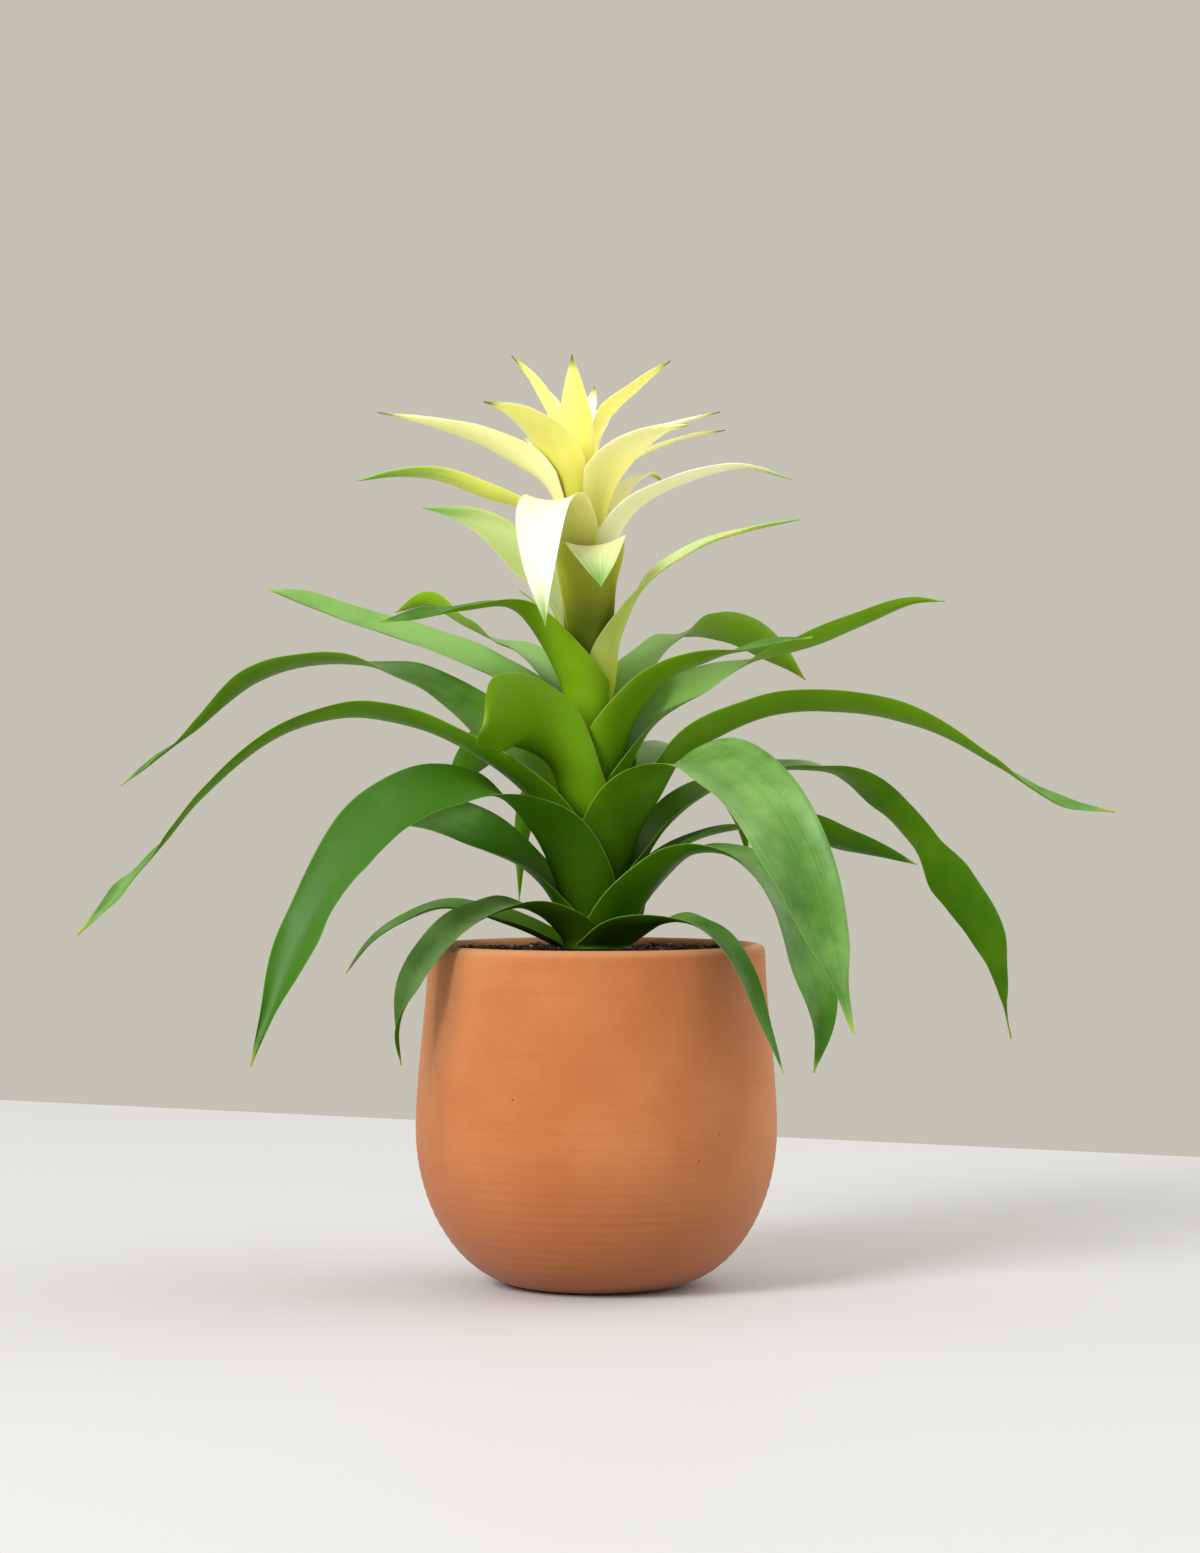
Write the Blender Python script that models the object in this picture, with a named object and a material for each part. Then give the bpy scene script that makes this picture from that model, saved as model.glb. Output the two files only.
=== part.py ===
"""Potted bromeliad: a terracotta bowl pot, potting mix, a stem, arching leaves and a star of bracts.

Metres, +Z up. The origin is the centre of the pot's foot, on the surface that the pot stands on.
The front of the plant faces -Y.
"""
import math
from dataclasses import dataclass

import bmesh
import bpy
from mathutils import Matrix, Vector

MM = 0.001
GAP = 0.3 * MM                      # clearance between pieces that touch

# Pot: a thrown bowl with a quarter-ellipse belly, drawn in a little towards the rim.
POT_HEIGHT = 132.0 * MM
POT_WIDEST_RADIUS = 70.0 * MM
POT_WIDEST_HEIGHT = 61.0 * MM
POT_RIM_RADIUS = 65.3 * MM
POT_FOOT_RADIUS = 26.0 * MM
POT_WALL = 6.0 * MM
POT_FLOOR = 8.0 * MM
BELLY_STEPS = 8
NECK_STEPS = 4
LIP_STEPS = 6
POT_SEGMENTS = 40

# Potting mix: a plug that fills the pot to just below the rim, with a socket for the stem.
SOIL_TOP = 129.0 * MM
SOIL_FOOT_RADIUS = 30.0 * MM
SOCKET_DEPTH = 22.0 * MM

# Stem: the short trunk and the flower stalk in one, tapering upwards and leaning a little.
STEM_FOOT_RADIUS = 7.2 * MM
STEM_TAPER = 0.022                  # radius lost for each unit of height above the mix
STEM_HEIGHT = 206.0 * MM            # above the mix
STEM_LEAN = -7.0 * MM               # sideways drift at the top
STEM_LEAN_POWER = 1.5               # how late the drift comes
STEM_RINGS = 14
STEM_SEGMENTS = 16

# Blades
BLADE_COLUMNS = 4
TIP_HALF_WIDTH = 0.5 * MM
SHEATH_LOWEST = 1.5 * MM            # no sheath starts lower than this above the mix
SHEATH_FLARE = 0.25                 # outward slope of a sheath's foot
ROLL_START = 0.15                   # share of the length where a blade starts to roll
ROLL_EASE = 0.35                    # share of the length that the roll takes
SHEATH_START = 1.2                  # reach, in first rib reaches, where a sheath starts to flatten
SHEATH_END = 2.9                    # reach, in first rib reaches, where the blade is free
NARROW_START = 0.1                  # share of the length where the sheath's width starts to ease off
NARROW_EASE = 0.3                   # share of the length that this takes
TAPER_POWER = 2.3                   # how late the tip's taper bites
TAPER_SLOPE = 1.1                   # how steeply it ends
CURVE_STEPS = 16                    # fine steps between two rib points

SHARP_ANGLE = math.radians(40.0)    # edges sharper than this are shaded as edges
MERGE_DISTANCE = 0.001 * MM         # points closer than this are one point

TERRACOTTA = (0.60, 0.26, 0.12, 1.0)
MIX_BROWN = (0.035, 0.022, 0.015, 1.0)
STEM_GREEN = (0.16, 0.28, 0.05, 1.0)
LEAF_GREEN = (0.07, 0.22, 0.03, 1.0)
BRACT_YELLOW = (0.80, 0.76, 0.22, 1.0)


@dataclass(frozen=True)
class Form:
    """What all leaves, or all bracts, share.

    drop is how far a sheath runs down the stem below its rib's first point, and standoff is the least
    distance from the stem's skin to the middle of a sheath.
    """
    thickness: float
    stations: int
    drop: float
    standoff: float


LEAF_FORM = Form(1.1 * MM, 16, 14.0 * MM, 1.3 * MM)
BRACT_FORM = Form(0.7 * MM, 9, 9.0 * MM, 0.95 * MM)


@dataclass(frozen=True)
class Blade:
    """One leaf or bract.

    azimuth is in degrees about the stem, from +X.
    rib holds the midrib's (reach from the stem's axis, height above the mix) in millimetres.
    width is the free blade's and sheath the clasping foot's, both in millimetres.
    wrap is the half angle round the stem that the sheath stays within.
    roll turns the blade about its midrib, and spins holds (share of the length, degrees) keys that
    turn it further. swell holds (share of the length, factor) keys that broaden or narrow it, and
    it narrows from taper_from to its tip.
    cup is the half angle of the trough across the blade.
    """
    azimuth: float
    rib: tuple
    width: float
    sheath: float = 36.0
    wrap: float = 68.0
    roll: float = 0.0
    spins: tuple = ()
    swell: tuple = ()
    taper_from: float = 0.4
    cup: float = 28.0


# Leaves, from the lowest on the stem to the highest.
LEAVES = (
    Blade(172, ((15.5, 2), (30, 9), (46, 15), (61, 17), (77, 11), (89, 3), (99, -9)), 15, wrap=50,
          spins=((0.4, -12), (1.0, -20))),
    Blade(-45, ((13.6, 3), (26, 10), (46, 13), (64, 8), (79, -7), (89, -26), (98, -42)), 14, wrap=50,
          taper_from=0.3),
    Blade(84, ((13.6, 5), (26, 17), (46, 31), (70, 33), (92, 20), (104, -5), (108, -25)), 22, wrap=55),
    Blade(-150, ((13.4, 5.5), (22, 14), (37, 18), (57, 13), (73, 0), (82, -14), (86, -28), (85, -41)), 19,
          wrap=50, roll=-15, spins=((0.72, 0), (0.95, 55)), swell=((0.6, 1.0), (0.8, 1.1))),
    Blade(-33, ((13.3, 9), (24, 25), (42, 38), (65, 37), (83, 21), (95, -4), (100, -24), (97, -43)), 24,
          wrap=62, spins=((0.5, 0), (0.8, 25)), swell=((0.6, 1.0), (0.8, 1.35), (0.95, 1.3))),
    Blade(165, ((13.3, 13), (24, 29), (46, 44), (71, 52), (96, 47), (120, 28)), 29, wrap=62,
          spins=((0.2, 0), (0.45, -28), (1.0, -35))),
    Blade(15, ((12.4, 14), (22, 31), (40, 43), (64, 48), (86, 47), (106, 40), (132, 33)), 17, wrap=46,
          taper_from=0.7, spins=((0.45, 0), (0.68, -35), (0.9, -30))),
    Blade(109, ((12.9, 18), (28, 43), (48, 58), (75, 60), (92, 42), (98, 16)), 13, wrap=34),
    Blade(-145, ((12.8, 19), (23, 45), (43, 60), (70, 62), (99, 50), (121, 27), (137, 0), (154, -38)), 29,
          wrap=52, roll=-30,
          swell=((0.12, 1.2), (0.3, 1.3), (0.5, 1.05), (0.72, 0.88), (0.82, 1.08), (0.92, 1.0))),
    Blade(20, ((12.2, 22), (27, 47), (49, 63), (79, 71), (109, 67), (132, 50), (152, 26), (170, -1),
               (178, -38)), 24, wrap=52, roll=10, spins=((0.42, 0), (0.58, -40), (0.72, -72), (1.0, -85)),
          swell=((0.45, 0.95), (0.60, 0.85), (0.665, 0.72), (0.74, 1.25), (0.84, 1.4), (0.93, 0.9),
                 (0.97, 0.4))),
    Blade(128, ((12.6, 26), (22, 48), (37, 70), (57, 83), (83, 73), (104, 52)), 22, wrap=45,
          spins=((0.35, 0), (0.6, 50))),
    Blade(-48, ((12.4, 29), (20, 52), (38, 69), (64, 73), (90, 60), (111, 35), (124, 9), (139, -25)), 34,
          wrap=65, roll=25, swell=((0.5, 1.0), (0.72, 1.05), (0.85, 1.1), (0.94, 0.75))),
    Blade(64, ((12.3, 35), (20, 54), (40, 70), (76, 80), (112, 72), (136, 52), (148, 32)), 24, wrap=45),
    Blade(-168, ((12.2, 36), (27, 62), (52, 80), (75, 89), (98, 91), (125, 82), (152, 60), (170, 39),
                 (200, 8)), 22, wrap=45, spins=((0.25, 0), (0.45, 14), (0.80, 16), (0.87, -25), (0.93, -70)),
          swell=((0.2, 1.2), (0.36, 1.35), (0.6, 1.0), (0.80, 0.75), (0.865, 0.55), (0.92, 1.25))),
    Blade(0, ((12.0, 41), (17, 55), (28, 70), (46, 84), (73, 94), (104, 94), (131, 87), (157, 72),
              (180, 58), (202, 54)), 22, wrap=65,
          spins=((0.15, 0), (0.32, -24), (0.60, -22), (0.78, -8), (0.86, 25), (0.93, 55)),
          swell=((0.6, 1.0), (0.78, 0.75), (0.85, 0.55), (0.92, 1.1))),
    Blade(162, ((11.9, 45), (30, 74), (57, 98), (84, 110), (113, 113), (143, 106), (170, 85), (201, 64)), 24,
          spins=((0.12, 0), (0.28, -24), (0.42, -16), (0.54, 10), (0.70, 18), (0.84, 12), (0.90, -20),
                 (0.97, -50)),
          swell=((0.4, 1.0), (0.55, 0.8), (0.7, 0.8), (0.82, 0.6), (0.87, 0.42), (0.93, 0.95))),
    Blade(85, ((11.7, 50), (20, 68), (40, 82), (64, 86), (92, 78), (118, 56), (134, 28)), 24),
    Blade(-130, ((11.6, 52), (17, 71), (28, 86), (40, 91), (52, 90), (63, 87)), 30, taper_from=0.88,
          spins=((0.2, 0), (0.5, 52), (0.8, 70), (1.0, 64)), swell=((0.6, 1.0), (0.9, 1.12))),
    Blade(95, ((11.4, 58), (22, 79), (46, 98), (78, 106), (112, 98), (140, 76), (158, 48)), 24, wrap=50),
    Blade(25, ((11.0, 64), (24, 88), (48, 104), (70, 113), (93, 120), (120, 130), (144, 138), (160, 139)), 27,
          roll=32, spins=((0.40, 0), (0.56, -55), (0.7, -85), (1.0, -80)),
          swell=((0.4, 1.0), (0.52, 0.65), (0.62, 0.45), (0.75, 0.5), (0.9, 0.7))),
    Blade(-30, ((10.7, 71), (17, 90), (29, 104), (49, 112), (70, 116), (97, 120)), 26,
          spins=((0.3, 0), (0.6, -10), (0.85, 25)), swell=((0.3, 1.05), (0.5, 0.75), (0.7, 0.6), (0.9, 0.8))),
    Blade(158, ((10.8, 76), (22, 97), (46, 112), (76, 123), (102, 131), (138, 143)), 20, wrap=60, roll=-22,
          taper_from=0.75, swell=((0.3, 1.1), (0.6, 0.95), (0.82, 0.75), (0.94, 1.0))),
    Blade(50, ((10.4, 81), (14, 93), (27, 108), (48, 121), (70, 127), (96, 127), (122, 118), (139, 108)), 18,
          wrap=50, taper_from=0.7, spins=((0.44, 0), (0.58, -40), (0.68, -56), (1.0, -60)),
          swell=((0.4, 1.0), (0.55, 0.85), (0.7, 0.8), (0.9, 0.9))),
    Blade(135, ((10.0, 88), (17, 104), (34, 116), (50, 121), (70, 129), (90, 138), (111, 135)), 18, wrap=50,
          taper_from=0.6, spins=((0.45, 0), (0.62, 28), (0.8, 50), (0.95, 20)),
          swell=((0.5, 1.0), (0.7, 0.8), (0.9, 0.9))),
    Blade(-150, ((9.6, 95), (12, 106), (21, 124), (34, 133), (56, 131), (90, 126)), 26,
          spins=((0.7, 0), (0.95, -50)), swell=((0.3, 1.05), (0.5, 0.8), (0.8, 0.7))),
)

# Bracts, from the lowest on the flower stalk to the highest.
BRACTS = (
    Blade(-15, ((9.5, 104), (13, 123), (25, 143), (46, 156), (66, 162), (86, 166)), 17, 26, 60,
          spins=((0.2, 0), (0.45, 22), (0.9, 12))),
    Blade(180, ((9.3, 108), (12.5, 124), (19, 134), (26, 140)), 12, 20, 45),
    Blade(-78, ((9.2, 112), (11, 130), (14, 148), (20, 156), (26, 151), (28, 140)), 30, 32, 62,
          spins=((0.55, 0), (0.9, 18))),
    Blade(155, ((8.8, 119), (16, 138), (30, 156), (46, 168), (70, 174)), 18, 28, 55,
          spins=((0.15, 0), (0.45, -38), (1.0, -34))),
    Blade(-118, ((8.5, 125), (11, 145), (15, 163), (22, 173), (31, 168), (35, 150), (34, 125)), 26, 28, 50),
    Blade(-25, ((8.0, 138), (12, 158), (22, 171), (42, 180), (67, 185), (88, 180)), 20, 26, 50),
    Blade(175, ((7.9, 144), (10, 158), (19, 170), (36, 177), (55, 184), (71, 185), (88, 183)), 16, 24, 50,
          spins=((0.25, 0), (0.6, 24), (1.0, 10)), swell=((0.6, 1.0), (0.85, 1.2))),
    Blade(40, ((7.7, 146), (11, 164), (20, 178), (33, 186), (43, 184)), 18, 24, 50),
    Blade(100, ((7.2, 152), (9, 168), (18, 182), (34, 191), (52, 195)), 18, 22, 42),
    Blade(-172, ((7.4, 154), (10, 173), (18, 186), (31, 195), (50, 202), (78, 208)), 22, 24, 42,
          spins=((0.2, 0), (0.5, 26), (1.0, 20))),
    Blade(-40, ((7.4, 158), (10.5, 174), (19, 188), (35, 197), (55, 201)), 25, 26, 48),
    Blade(20, ((7.0, 164), (9.6, 177), (20, 190), (40, 199), (61, 204)), 16, 20, 40),
    Blade(120, ((7.0, 165), (9, 179), (18, 191), (32, 198), (47, 203)), 18, 22, 42),
    Blade(-130, ((7.2, 167), (11, 182), (19, 196), (35, 205), (55, 209)), 22, 24, 50),
    Blade(35, ((6.6, 170), (8.6, 182), (13, 191), (24, 200), (48, 207), (69, 213)), 13, 16, 42),
    Blade(65, ((6.2, 176), (7, 189), (12, 203), (27, 211), (42, 217)), 16, 18, 36),
    Blade(-95, ((6.6, 172), (9, 188), (12.5, 204), (14, 218), (14, 230)), 15, 18, 45),
    Blade(-160, ((6.3, 184), (7.5, 197), (12, 209), (18, 220), (26, 230)), 16, 16, 32),
    Blade(-15, ((6.2, 186), (7.5, 199), (14, 209), (25, 218), (38, 228)), 19, 18, 42),
    Blade(145, ((6.0, 190), (7, 202), (12, 213), (19, 222)), 10, 10, 22),
    Blade(50, ((5.9, 192), (6.5, 203), (8, 212), (11, 220)), 10, 10, 22),
    Blade(97, ((5.8, 194), (6, 205), (8, 216), (12, 225)), 10, 10, 22),
)


def clear_scene():
    """Remove every object that the file opened with."""
    for item in list(bpy.data.objects):
        bpy.data.objects.remove(item, do_unlink=True)


def make_material(name, colour, roughness):
    """Return a Principled material of one colour."""
    material = bpy.data.materials.new(name)
    material.use_nodes = True
    shader = material.node_tree.nodes["Principled BSDF"]
    shader.inputs["Base Color"].default_value = colour
    shader.inputs["Roughness"].default_value = roughness
    shader.inputs["Metallic"].default_value = 0.0
    material.diffuse_color = colour
    return material


def add_object(name, shape, material):
    """Turn a bmesh into a smooth-shaded object of one material."""
    mesh = bpy.data.meshes.new(name)
    shape.to_mesh(mesh)
    shape.free()
    mesh.materials.append(material)
    mesh.shade_smooth()
    mesh.set_sharp_from_angle(angle=SHARP_ANGLE)
    item = bpy.data.objects.new(name, mesh)
    bpy.context.scene.collection.objects.link(item)
    return item


def smoothstep(value):
    """Ease from 0 to 1, held outside that range."""
    value = min(1.0, max(0.0, value))
    return value * value * (3.0 - 2.0 * value)


def between(keys, place, rest):
    """Ease from (place, value) key to key, from the rest value at 0; past the last key it holds."""
    before = (0.0, rest)
    for key in keys:
        if place < key[0]:
            share = smoothstep((place - before[0]) / (key[0] - before[0]))
            return before[1] + (key[1] - before[1]) * share
        before = key
    return before[1]


def turned_shape(profile, segments):
    """Spin a profile of (radius, height) that starts and ends on the axis into a closed solid."""
    shape = bmesh.new()
    ring = [shape.verts.new((radius, 0.0, height)) for radius, height in profile]
    edges = [shape.edges.new(pair) for pair in zip(ring, ring[1:])]
    bmesh.ops.spin(shape, geom=ring + edges, cent=(0, 0, 0), axis=(0, 0, 1), dvec=(0, 0, 0),
                   angle=math.tau, steps=segments, use_duplicate=False)
    bmesh.ops.remove_doubles(shape, verts=shape.verts, dist=MERGE_DISTANCE)
    bmesh.ops.recalc_face_normals(shape, faces=shape.faces)
    return shape


def pot_radius(height):
    """The pot's outer radius: a quarter ellipse below the widest place, an eased neck above it."""
    if height < POT_WIDEST_HEIGHT:
        rise = 1.0 - height / POT_WIDEST_HEIGHT
        return POT_FOOT_RADIUS + (POT_WIDEST_RADIUS - POT_FOOT_RADIUS) * math.sqrt(1.0 - rise * rise)
    neck = smoothstep((height - POT_WIDEST_HEIGHT) / (POT_HEIGHT - POT_WIDEST_HEIGHT))
    return POT_WIDEST_RADIUS + (POT_RIM_RADIUS - POT_WIDEST_RADIUS) * neck


def belly_heights(bottom):
    """Heights up the belly, close together where it curves away from the foot."""
    rise = POT_WIDEST_HEIGHT - bottom
    return [bottom + rise * (1.0 - math.cos(0.5 * math.pi * step / BELLY_STEPS))
            for step in range(1, BELLY_STEPS + 1)]


def neck_heights(top):
    """Heights evenly up the neck, above the widest place."""
    rise = top - POT_WIDEST_HEIGHT
    return [POT_WIDEST_HEIGHT + rise * step / NECK_STEPS for step in range(1, NECK_STEPS + 1)]


def inner_wall(bottom, top, inset):
    """The profile (radius, height) up the inside of the wall, set in from the outside by inset."""
    heights = belly_heights(bottom) + neck_heights(top)
    return [(pot_radius(height) - inset, height) for height in heights]


def build_pot(material):
    """The pot: foot, belly, neck, a half-round lip and the hollow inside."""
    shoulder = POT_HEIGHT - 0.5 * POT_WALL
    outside = [(pot_radius(height), height) for height in belly_heights(0.0) + neck_heights(shoulder)]
    lip_centre = pot_radius(shoulder) - 0.5 * POT_WALL
    lip = []
    for step in range(1, LIP_STEPS):
        angle = math.pi * step / LIP_STEPS
        lip.append((lip_centre + 0.5 * POT_WALL * math.cos(angle),
                    shoulder + 0.5 * POT_WALL * math.sin(angle)))
    inside = inner_wall(POT_FLOOR, shoulder, POT_WALL)[::-1]
    profile = [(0.0, 0.0), (POT_FOOT_RADIUS, 0.0)] + outside + lip + inside
    profile += [(SOIL_FOOT_RADIUS, POT_FLOOR), (0.0, POT_FLOOR)]
    return add_object("pot", turned_shape(profile, POT_SEGMENTS), material)


def build_soil(material):
    """The potting mix: it fills the pot and leaves a socket for the stem."""
    socket = STEM_FOOT_RADIUS + GAP
    floor = POT_FLOOR + GAP
    wall = inner_wall(floor, SOIL_TOP, POT_WALL + GAP)
    profile = [(0.0, floor), (SOIL_FOOT_RADIUS - GAP, floor)] + wall
    profile += [(socket, SOIL_TOP), (socket, SOIL_TOP - SOCKET_DEPTH), (0.0, SOIL_TOP - SOCKET_DEPTH)]
    return add_object("potting_mix", turned_shape(profile, POT_SEGMENTS), material)


def stem_radius(height):
    """The stem's radius at a height above the mix."""
    return STEM_FOOT_RADIUS - STEM_TAPER * max(0.0, height)


def stem_centre(height):
    """The stem's axis at a height above the mix: upright at the foot, drifting towards the top."""
    drift = STEM_LEAN * (max(0.0, height) / STEM_HEIGHT) ** STEM_LEAN_POWER
    return Vector((drift, 0.0, SOIL_TOP + height))


def build_stem(material):
    """The stem, from the floor of its socket to a blunt tip inside the highest bracts."""
    foot = GAP - SOCKET_DEPTH
    heights = [foot, 0.0] + [STEM_HEIGHT * (ring + 1) / STEM_RINGS for ring in range(STEM_RINGS)]
    profile = [(0.0, foot)] + [(stem_radius(height), height) for height in heights]
    profile.append((0.0, STEM_HEIGHT + 0.5 * stem_radius(STEM_HEIGHT)))
    shape = turned_shape(profile, STEM_SEGMENTS)
    for vertex in shape.verts:
        vertex.co += stem_centre(vertex.co.z) - Vector((0.0, 0.0, vertex.co.z))
    return add_object("stem", shape, material)


def smooth_points(points, count):
    """Even stations along a Catmull-Rom curve through the points."""
    points = [Vector(point) for point in points]
    ends = [2.0 * points[0] - points[1]] + points + [2.0 * points[-1] - points[-2]]
    fine = []
    for before, start, end, after in zip(ends, ends[1:], ends[2:], ends[3:]):
        for step in range(CURVE_STEPS):
            t = step / CURVE_STEPS
            fine.append(0.5 * (2.0 * start + (end - before) * t
                               + (2.0 * before - 5.0 * start + 4.0 * end - after) * t ** 2
                               + (3.0 * start - before - 3.0 * end + after) * t ** 3))
    fine.append(points[-1])
    lengths = [0.0]
    for start, end in zip(fine, fine[1:]):
        lengths.append(lengths[-1] + (end - start).length)
    stations, place = [], 0
    for index in range(count):
        target = lengths[-1] * index / (count - 1)
        while place < len(fine) - 2 and lengths[place + 1] < target:
            place += 1
        share = (target - lengths[place]) / (lengths[place + 1] - lengths[place])
        stations.append(fine[place].lerp(fine[place + 1], min(1.0, share)))
    return stations


def full_rib(blade, drop, standoff):
    """The midrib in metres, carried down the stem by the sheath's drop and clear of the stem."""
    rib = [(reach * MM, height * MM) for reach, height in blade.rib]
    reach, height = rib[0]
    foot = max(height - drop, SHEATH_LOWEST)
    if height - foot < SHEATH_LOWEST:
        return rib
    clear = stem_radius(foot) + standoff
    return [(max(clear, reach - SHEATH_FLARE * (height - foot)), foot)] + rib


def half_width(blade, along, reach):
    """Half the blade's width at a place along it: broad sheath, even blade, drawn-out tip."""
    free = 0.5 * blade.width * MM
    broad = max(free, 0.5 * blade.sheath * MM)
    width = broad + (free - broad) * smoothstep((along - NARROW_START) / NARROW_EASE)
    taper = min(1.0, max(0.0, (along - blade.taper_from) / (1.0 - blade.taper_from)))
    width *= (1.0 - taper ** TAPER_POWER) ** TAPER_SLOPE * between(blade.swell, along, 1.0)
    return max(TIP_HALF_WIDTH, min(width, math.radians(blade.wrap) * reach))


def blade_rows(blade, stations):
    """Rows of points over the middle surface of a blade, from its foot to its tip."""
    clasp = blade.rib[0][0] * MM
    last = len(stations) - 1
    heading = math.radians(blade.azimuth)
    outward = Vector((math.cos(heading), math.sin(heading), 0.0))
    level = Vector((-math.sin(heading), math.cos(heading), 0.0))
    spine = [stem_centre(place.y) + outward * place.x for place in stations]
    rows = []
    for index, place in enumerate(stations):
        along = index / last
        tangent = (spine[min(index + 1, last)] - spine[max(index - 1, 0)]).normalized()
        flat = (level - level.dot(tangent) * tangent).normalized()
        free = smoothstep((place.x / clasp - SHEATH_START) / (SHEATH_END - SHEATH_START))
        turn = blade.roll * smoothstep((along - ROLL_START) / ROLL_EASE) + between(blade.spins, along, 0.0)
        side = Matrix.Rotation(math.radians(turn), 3, tangent) @ flat
        face = tangent.cross(side)
        half = half_width(blade, along, place.x)
        cup = math.radians(blade.cup)
        row = []
        for column in range(BLADE_COLUMNS + 1):
            across = 2.0 * column / BLADE_COLUMNS - 1.0
            blade_point = (spine[index] + side * (half * math.sin(cup * across) / cup)
                           + face * (half * (1.0 - math.cos(cup * across)) / cup))
            wrap = heading + half * across / place.x
            sheath_point = stem_centre(place.y) + Vector((math.cos(wrap), math.sin(wrap), 0.0)) * place.x
            row.append(sheath_point.lerp(blade_point, free))
        rows.append(row)
    return rows


def build_blade(name, blade, form, material):
    """One leaf or bract: its middle surface, thickened evenly to both sides."""
    rows = blade_rows(blade, smooth_points(full_rib(blade, form.drop, form.standoff), form.stations))
    shape = bmesh.new()
    grid = [[shape.verts.new(point) for point in row] for row in rows]
    for lower, upper in zip(grid, grid[1:]):
        for column in range(BLADE_COLUMNS):
            shape.faces.new((lower[column], upper[column], upper[column + 1], lower[column + 1]))
    item = add_object(name, shape, material)
    solid = item.modifiers.new("Thickness", "SOLIDIFY")
    solid.thickness = form.thickness
    solid.offset = 0.0
    return item


def main():
    """Build every piece."""
    clear_scene()
    build_pot(make_material("terracotta", TERRACOTTA, 0.8))
    build_soil(make_material("potting_mix", MIX_BROWN, 0.95))
    build_stem(make_material("stem_green", STEM_GREEN, 0.5))
    leaf_green = make_material("leaf_green", LEAF_GREEN, 0.4)
    for number, blade in enumerate(LEAVES, start=1):
        build_blade(f"leaf_{number:02d}", blade, LEAF_FORM, leaf_green)
    bract_yellow = make_material("bract_yellow", BRACT_YELLOW, 0.4)
    for number, blade in enumerate(BRACTS, start=1):
        build_blade(f"bract_{number:02d}", blade, BRACT_FORM, bract_yellow)


main()
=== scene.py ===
"""Looks of a potted bromeliad: a thrown terracotta bowl, potting mix, strap leaves and a star of bracts.

Metres, +Z up. The origin is the centre of the pot's foot, and the front of the plant faces -Y.
"""
import logging
import math
from dataclasses import dataclass, field
from enum import Enum
from functools import partial
from typing import Any, Callable, Iterable, Optional, Sequence, Union

import bmesh
import bpy
from mathutils import Matrix, Vector


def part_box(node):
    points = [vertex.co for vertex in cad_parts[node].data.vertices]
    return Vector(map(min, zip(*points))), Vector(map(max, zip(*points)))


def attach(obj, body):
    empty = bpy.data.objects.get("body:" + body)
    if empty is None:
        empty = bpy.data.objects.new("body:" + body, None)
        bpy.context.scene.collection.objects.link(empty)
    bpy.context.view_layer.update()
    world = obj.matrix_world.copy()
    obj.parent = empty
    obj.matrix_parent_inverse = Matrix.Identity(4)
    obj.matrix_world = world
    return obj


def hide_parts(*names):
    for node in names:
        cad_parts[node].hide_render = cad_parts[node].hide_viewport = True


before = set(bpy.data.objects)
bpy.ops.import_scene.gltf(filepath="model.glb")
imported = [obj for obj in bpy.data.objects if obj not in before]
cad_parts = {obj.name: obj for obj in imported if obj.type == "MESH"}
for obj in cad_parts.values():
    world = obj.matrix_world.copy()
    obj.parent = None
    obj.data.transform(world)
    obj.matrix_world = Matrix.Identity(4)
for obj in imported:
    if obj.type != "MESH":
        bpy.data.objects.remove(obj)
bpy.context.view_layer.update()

logging.basicConfig(level=logging.INFO, format="%(name)s: %(message)s")
LOG = logging.getLogger("bromeliad")

MM = 0.001
BODY = "root"

# The mix's surface, and the stem's shape as the plant's frame has it.
MIX_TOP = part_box("potting_mix")[1].z
STEM_FOOT_RADIUS = 7.2 * MM
STEM_TAPER = 0.022
STEM_HEIGHT = 206.0 * MM
STEM_LEAN = -7.0 * MM

# Node kinds and settings that recur, by short names.
RANGE, MIX = "ShaderNodeMapRange", "ShaderNodeMix"
MATH, VECTOR_MATH = "ShaderNodeMath", "ShaderNodeVectorMath"
NOISE, ATTRIBUTE = "ShaderNodeTexNoise", "ShaderNodeAttribute"
EASED, COLOURS = {"interpolation_type": "SMOOTHSTEP"}, {"data_type": "RGBA"}
TIMES, TIMES_PLUS, OVER = {"operation": "MULTIPLY"}, {"operation": "MULTIPLY_ADD"}, {"operation": "DIVIDE"}
PLUS, MINUS, ABOVE = {"operation": "ADD"}, {"operation": "SUBTRACT"}, {"operation": "GREATER_THAN"}
SCALED = {"operation": "SCALE"}

# The Mix node's colour sockets, by place, because its kinds of value share their names.
SHARE, FIRST, SECOND, MIXED = 0, 6, 7, 2

# The faint relief of the veins, on leaves and bracts alike.
VEIN_RELIEF = {"Strength": 0.20, "Distance": 0.10 * MM}

Value = Union[bpy.types.NodeSocket, bpy.types.Node, bpy.types.Material, float, int, bool, str,
              Sequence[float]]
Adder = Callable[..., bpy.types.Node]


def smoothstep(value: float) -> float:
    """Ease from 0 to 1, held outside that range."""
    value = min(1.0, max(0.0, value))
    return value * value * (3.0 - 2.0 * value)


def between(keys: Sequence[tuple[float, float]], place: float, rest: float) -> float:
    """Ease from key to key.

    Args:
        keys: (place, value) in order; the first is reached from the rest value at 0.
        place: where to look.
        rest: the value with no keys, and at 0.

    Returns:
        The value there; past the last key it holds.
    """
    before = (0.0, rest)
    for key in keys:
        if place < key[0]:
            share = smoothstep((place - before[0]) / (key[0] - before[0]))
            return before[1] + (key[1] - before[1]) * share
        before = key
    return before[1]


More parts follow.
